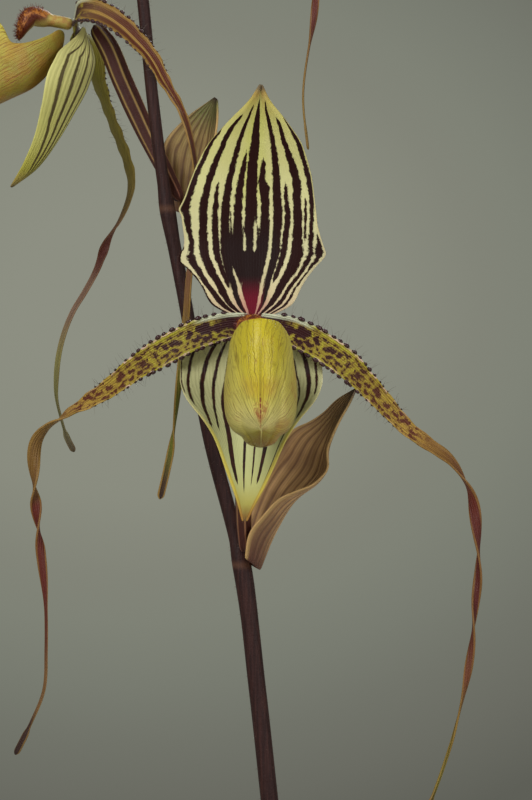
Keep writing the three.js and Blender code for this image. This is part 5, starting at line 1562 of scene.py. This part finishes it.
def make_dorsal(key):
    """The upright sepal, with its folded margins and fine ribs, and the down on its edges."""
    half_width, forward, middle, left_fold, right_fold = (
        graph(pairs) for pairs in (DORSAL_HALF_WIDTH, DORSAL_FORWARD, DORSAL_MIDDLE, DORSAL_FOLD_LEFT,
                                   DORSAL_FOLD_RIGHT))
    low, high = DORSAL_HALF_WIDTH[0][0], DORSAL_HALF_WIDTH[-1][0]

    def place(u, v):
        height = mix(low, high, u)
        across = 2 * v - 1
        wing = np.abs(across)
        fold = np.where(across < 0, left_fold(height), right_fold(height)) * ease((wing - 0.75) / 0.25)
        wave = np.sin(height / 4.4 + np.where(across < 0, 0.6, 2.4))
        bulk = clamp01(height / 12)
        depth = bulk * (2.2 * wing**2 - 2.6 * wing**5 + 1.1 * wing**3 * wave) - 0.7 * fold
        ribs = 0.045 * np.cos(across * 26) * bulk * (1 - u)
        reach = across * half_width(height) + np.sign(across) * fold
        return into_plant(key, in_bloom(middle(height) + reach, forward(height) + depth + ribs, height))

    name = f"bloom_{key}_hood_sepal"
    piece = blade(name, HOOD_GRID, place, SEPAL_THICKNESS)
    finish(piece, SKIN["dorsal"], "sepal", f"bloom_{key}_dorsal_sepal")
    rng = np.random.default_rng(HOOD_SEED)
    side = np.where(np.arange(HOOD_HAIRS) % 2, 1.0, 0.0)
    share = rng.uniform(0.08, 0.95, HOOD_HAIRS)
    roots = place(share, side)
    inward = place(share, np.where(side > 0.5, 0.97, 0.03))
    directions = unit(roots - inward) + rng.normal(size=roots.shape) * 0.35
    fuzz = hairs(f"{name}_hairs", roots, directions, rng.uniform(*HOOD_HAIR_LENGTHS, HOOD_HAIRS), 0.03,
                 0.3, rng)
    finish(fuzz, SKIN["pale_hair"], "sepal")


def make_synsepal(key):
    """The lower sepal, which cups the pouch from behind."""
    form = FOLDED_SYNSEPAL if key == "b" else OPEN_SYNSEPAL
    half_width, middle, forward, cup = (
        graph(form[name]) for name in ("half_width", "middle", "forward", "cup"))
    high, low = form["half_width"][0][0], form["half_width"][-1][0]

    def place(u, v):
        height = mix(high, low, u)
        across = 2 * v - 1
        wing = np.abs(across)
        ribs = 0.08 * np.cos(across * 24) * (1 - u)
        depth = forward(height) + cup(height) * (1 + form["nearer"] * np.sign(across)) * wing**2.2 + ribs
        return into_plant(key, in_bloom(middle(height) + across * half_width(height), depth, height))

    piece = blade(f"bloom_{key}_apron_sepal", APRON_GRID, place, SEPAL_THICKNESS)
    skin = "folded_synsepal" if key == "b" else "synsepal"
    finish(piece, SKIN[skin], "sepal", f"bloom_{key}_synsepal")


class Petal:
    """The ribbon of a petal, read by the distance from its base."""

    def __init__(self, key, side):
        table = PETALS[f"{key}_{side}"]
        self.key = key
        self.mirror = 1 if side == "left" else -1
        self.line = Line([(right, -forward, up) for right, forward, up in table["line"]])
        self.face = self.line.carried((0, -1, 0))
        self.turn = graph(table["twist"])
        self.common_width = graph(PETAL_WIDTH)
        self.slim = table["slim"]

    def ribbon(self, distance):
        """Its middle, the way to its upper edge, the way out of its face, and its half width."""
        heading = self.line.heading(distance)
        face = self.face(distance)
        angle = (self.mirror * np.radians(self.turn(distance)))[..., None]
        face = face * np.cos(angle) + np.cross(heading, face) * np.sin(angle)
        upper = -self.mirror * np.cross(face, heading)
        left = self.line.length - distance
        club = CLUB_WIDTH * ease((CLUB_LENGTH + 2 - left) / 4)
        width = mix(self.common_width(distance), SLIM_WIDTH, ease((distance - self.slim) / SLIM_REACH))
        return self.line.at(distance), upper, face, np.maximum(width, club) * 0.5 * dome(left / 1.1)

    def place(self, u, v):
        distance = u * self.line.length
        edge = 2 * v - 1
        centre, upper, face, half = self.ribbon(distance)
        warty = ease((RUFFLES_END - distance) / 20) * ease(distance / 6)
        scallop = 1 + 0.035 * warty * np.sin(2 * math.pi * distance / WART_PITCH) * edge**2
        ruffle = 0.3 * warty * np.abs(edge) ** 3 * np.sin(2 * math.pi * distance / 7.3 + 2 * edge)
        dish = PETAL_DISH * half * (2 * edge**2 - 1) + ruffle + 0.06 * warty * np.cos(edge * 12)
        point = centre + upper * (edge * half * scallop)[:, None] + face * dish[:, None]
        return into_plant(self.key, point)


def make_petal(key, side):
    """A ribbon with its own map in millimetres, so its blotches keep their size."""
    petal = Petal(key, side)
    piece = shaped_grid(f"bloom_{key}_ribbon_petal_{side}", PETAL_GRID, petal.place)
    u, v = map_of(piece)
    set_map(piece, u * petal.line.length / PETAL_MAP_LENGTH, v)
    thicken(piece, PETAL_THICKNESS)
    finish(piece, PETAL_SKINS.get(f"{key}_{side}", PETAL_SKINS["c"]), "petal", f"bloom_{key}_petal_{side}")


def wart_pattern():
    """A wart: a small ball with its foot drawn in."""
    deselect()
    bpy.ops.mesh.primitive_uv_sphere_add(segments=8, ring_count=6, radius=1)
    wart = bpy.context.object
    shape = corners(wart)
    shape[:, 2] = np.where(shape[:, 2] < 0, shape[:, 2] * 0.6, shape[:, 2])
    move_corners(wart, shape)
    edit(wart, (bpy.ops.mesh.quads_convert_to_tris, {}))
    return wart


def make_warts(key):
    """Warts on both edges of both petals, and the hairs that stand on them."""
    rng = np.random.default_rng(WART_SEED)
    points, frames, scales, roots, directions, lengths = [], [], [], [], [], []
    for side in ("left", "right"):
        petal = Petal(key, side)
        for edge in (-1, 1):
            distance = np.arange(5 + 1.1 * (edge > 0), WARTS_END, WART_PITCH)
            distance = distance + rng.uniform(-0.5, 0.5, len(distance))
            centre, upper, face, half = petal.ribbon(distance)
            heading = petal.line.heading(distance)
            rim = centre + upper * (edge * half)[:, None] + face * (PETAL_DISH * half)[:, None]
            bare = (key, side) == ("b", "left")
            size = (1 - 0.62 * ease((distance - 26) / 18)) * rng.uniform(0.75, 1.15, len(distance))
            size = size[:, None] * (0.45 if bare else 1)
            points.append(rim)
            frames.append(np.stack([heading, face, edge * upper], 1))
            scales.append(size * (0.95, 0.62, 0.7))
            for _ in range(WART_HAIRS):
                lean = rng.normal(size=rim.shape) * (0.34, 0.5, 0.34)
                outward = edge * upper + face * 0.25 + lean
                roots.append(rim + heading * rng.uniform(-0.6, 0.6, (len(distance), 1)))
                directions.append(outward)
                lengths.append(mix(4.8, 2.6, distance / WARTS_END) * rng.uniform(0.6, 1.1, len(distance)))
    points, frames, scales, roots, directions, lengths = (
        np.concatenate(rows) for rows in (points, frames, scales, roots, directions, lengths))
    origin = into_plant(key, np.zeros((1, 3)))
    piece = repeated(f"bloom_{key}_petal_warts", wart_pattern(), into_plant(key, points), scales,
                     into_plant(key, frames) - origin)
    finish(piece, SKIN["wart"], "petal")
    fringe = hairs(f"bloom_{key}_petal_hairs", into_plant(key, roots), into_plant(key, directions) - origin,
                   lengths * BLOOMS[key]["size"], 0.042, 0.35, rng)
    finish(fringe, SKIN["dark_hair"], "petal")


POUCH_GRAPHS = [graph(pairs) for pairs in (POUCH_RIM, POUCH_FRONT, POUCH_BACK, POUCH_HALF_WIDTH)]


def pouch_point(turn, drop, inset):
    """How far right of its middle, forward and up the pouch's wall is: turn is 0 at the front, drop
    runs from the rim to the toe, and inset goes into the wall."""
    rim, front, back, half_width = POUCH_GRAPHS
    height = mix(rim(np.degrees(np.abs(turn))), POUCH_FLOOR, np.sin(drop * math.pi / 2))
    toe, heel = front(height), back(height)
    facing = np.maximum(0, np.cos(turn))
    groove = np.exp(-(((np.abs(turn) - GROOVE_TURN) / 0.12) ** 2)) * ease((-10 - height) / 10)
    cleft = 0.2 * np.exp(-((turn / 0.05) ** 2)) * ease((-6 - height) / 8)
    lip = 0.5 * np.exp(-((drop / 0.05) ** 2)) * facing
    reach = (toe - heel) / 2 - inset - GROOVE_DEPTH * groove - cleft + lip
    half = np.maximum(0, half_width(height) - inset)
    narrow = 0.97 + 0.03 * np.cos(turn)
    forward = (toe + heel) / 2 + np.maximum(0, reach) * np.cos(turn)
    return half * np.sin(turn) * narrow, forward, height + inset * drop


def make_pouch(key):
    """One closed skin that goes down inside the bag, over its rim and down outside to the toe."""
    def wall(u, v):
        run = 2 * u - 1
        drop = np.abs(run)
        inset = POUCH_WALL * (0.5 - 0.5 * np.clip(run / 0.03, -1, 1))
        turn = 2 * math.pi * (v - 0.5)
        right, forward, up = pouch_point(turn, drop, inset)
        return np.where(drop >= 1, 0, right), np.where(drop >= 1, POUCH_POLE, forward), up, turn, drop

    def place(u, v):
        right, forward, up, _, _ = wall(u, np.where(v >= 1, 0.0, v))
        return into_plant(key, in_bloom(right + POUCH_LEAN * ease(forward / 20), forward, up))

    piece = shaped_grid(f"bloom_{key}_slipper", SLIPPER_GRID, place)
    right, forward, up, turn, drop = wall(*map_of(piece))
    heel, toe = np.array(POUCH_HEEL, float), np.array(POUCH_TOE, float)
    axis = unit(toe - heel)
    above = (up - heel[1]) * axis[0] - (forward - heel[0]) * axis[1]
    set_map(piece, 0.5 + np.sign(turn) * np.arctan2(np.abs(right), above) / (2 * math.pi), drop)
    close_seams(piece)
    smooth(piece)
    finish(piece, SKIN["pouch"], "pouch", f"bloom_{key}_pouch")


def make_column(key):
    """The column with its hood, and the bristles that cover the hood's edges."""
    drop = COLUMN_DROP[key]
    line = Line([(right, -forward,
                  up - drop * float(ease((forward - COLUMN_DROP_START) / COLUMN_DROP_REACH)))
                 for right, forward, up in COLUMN_LINE])
    half_width, half_height = graph(COLUMN_HALF_WIDTH), graph(COLUMN_HALF_HEIGHT)
    right = np.array([1.0, 0, 0])

    def shell(u, v, out=0.0):
        heading = line.heading(u * line.length)
        up = unit(np.cross(heading, right)) * -1
        angle = 2 * math.pi * v
        wide = (np.cos(angle) * (half_width(u) + out))[:, None] * right
        high = (np.sin(angle) * (half_height(u) + out))[:, None] * up
        return line.at(u * line.length), wide + high

    def place(u, v):
        shrink = dome(np.minimum(u, 1 - u) / 0.09)
        centre, reach = shell(u, np.where(v >= 1, 0.0, v))
        return into_plant(key, centre + reach * shrink[:, None])

    piece = round_body(f"bloom_{key}_column_and_shield", COLUMN_GRID, place)
    finish(piece, SKIN["column"], "column", f"bloom_{key}_column")
    rng = np.random.default_rng(BRISTLE_SEED)
    along = rng.uniform(*BRISTLES_ALONG, BRISTLES)
    around = rng.uniform(*BRISTLES_AROUND, BRISTLES)
    centre, reach = shell(along, around, -2 * ROOT_DEPTH)
    origin = into_plant(key, np.zeros((1, 3)))
    directions = into_plant(key, unit(reach) + rng.normal(size=reach.shape) * 0.35) - origin
    bristles = hairs(f"bloom_{key}_shield_bristles", into_plant(key, centre + reach), directions,
                     rng.uniform(*BRISTLE_LENGTHS, BRISTLES), 0.07, 0.4, rng)
    finish(bristles, SKIN["red_hair"], "column")


set_camera()
set_studio()
make_pot()
make_bark()
for index in range(len(LEAVES)):
    make_leaf(index)
make_scape()
for key in BLOOMS:
    make_bract(key)
    make_ovary(key)
    make_dorsal(key)
    make_synsepal(key)
    make_petal(key, "left")
    make_petal(key, "right")
    make_warts(key)
    make_pouch(key)
    make_column(key)
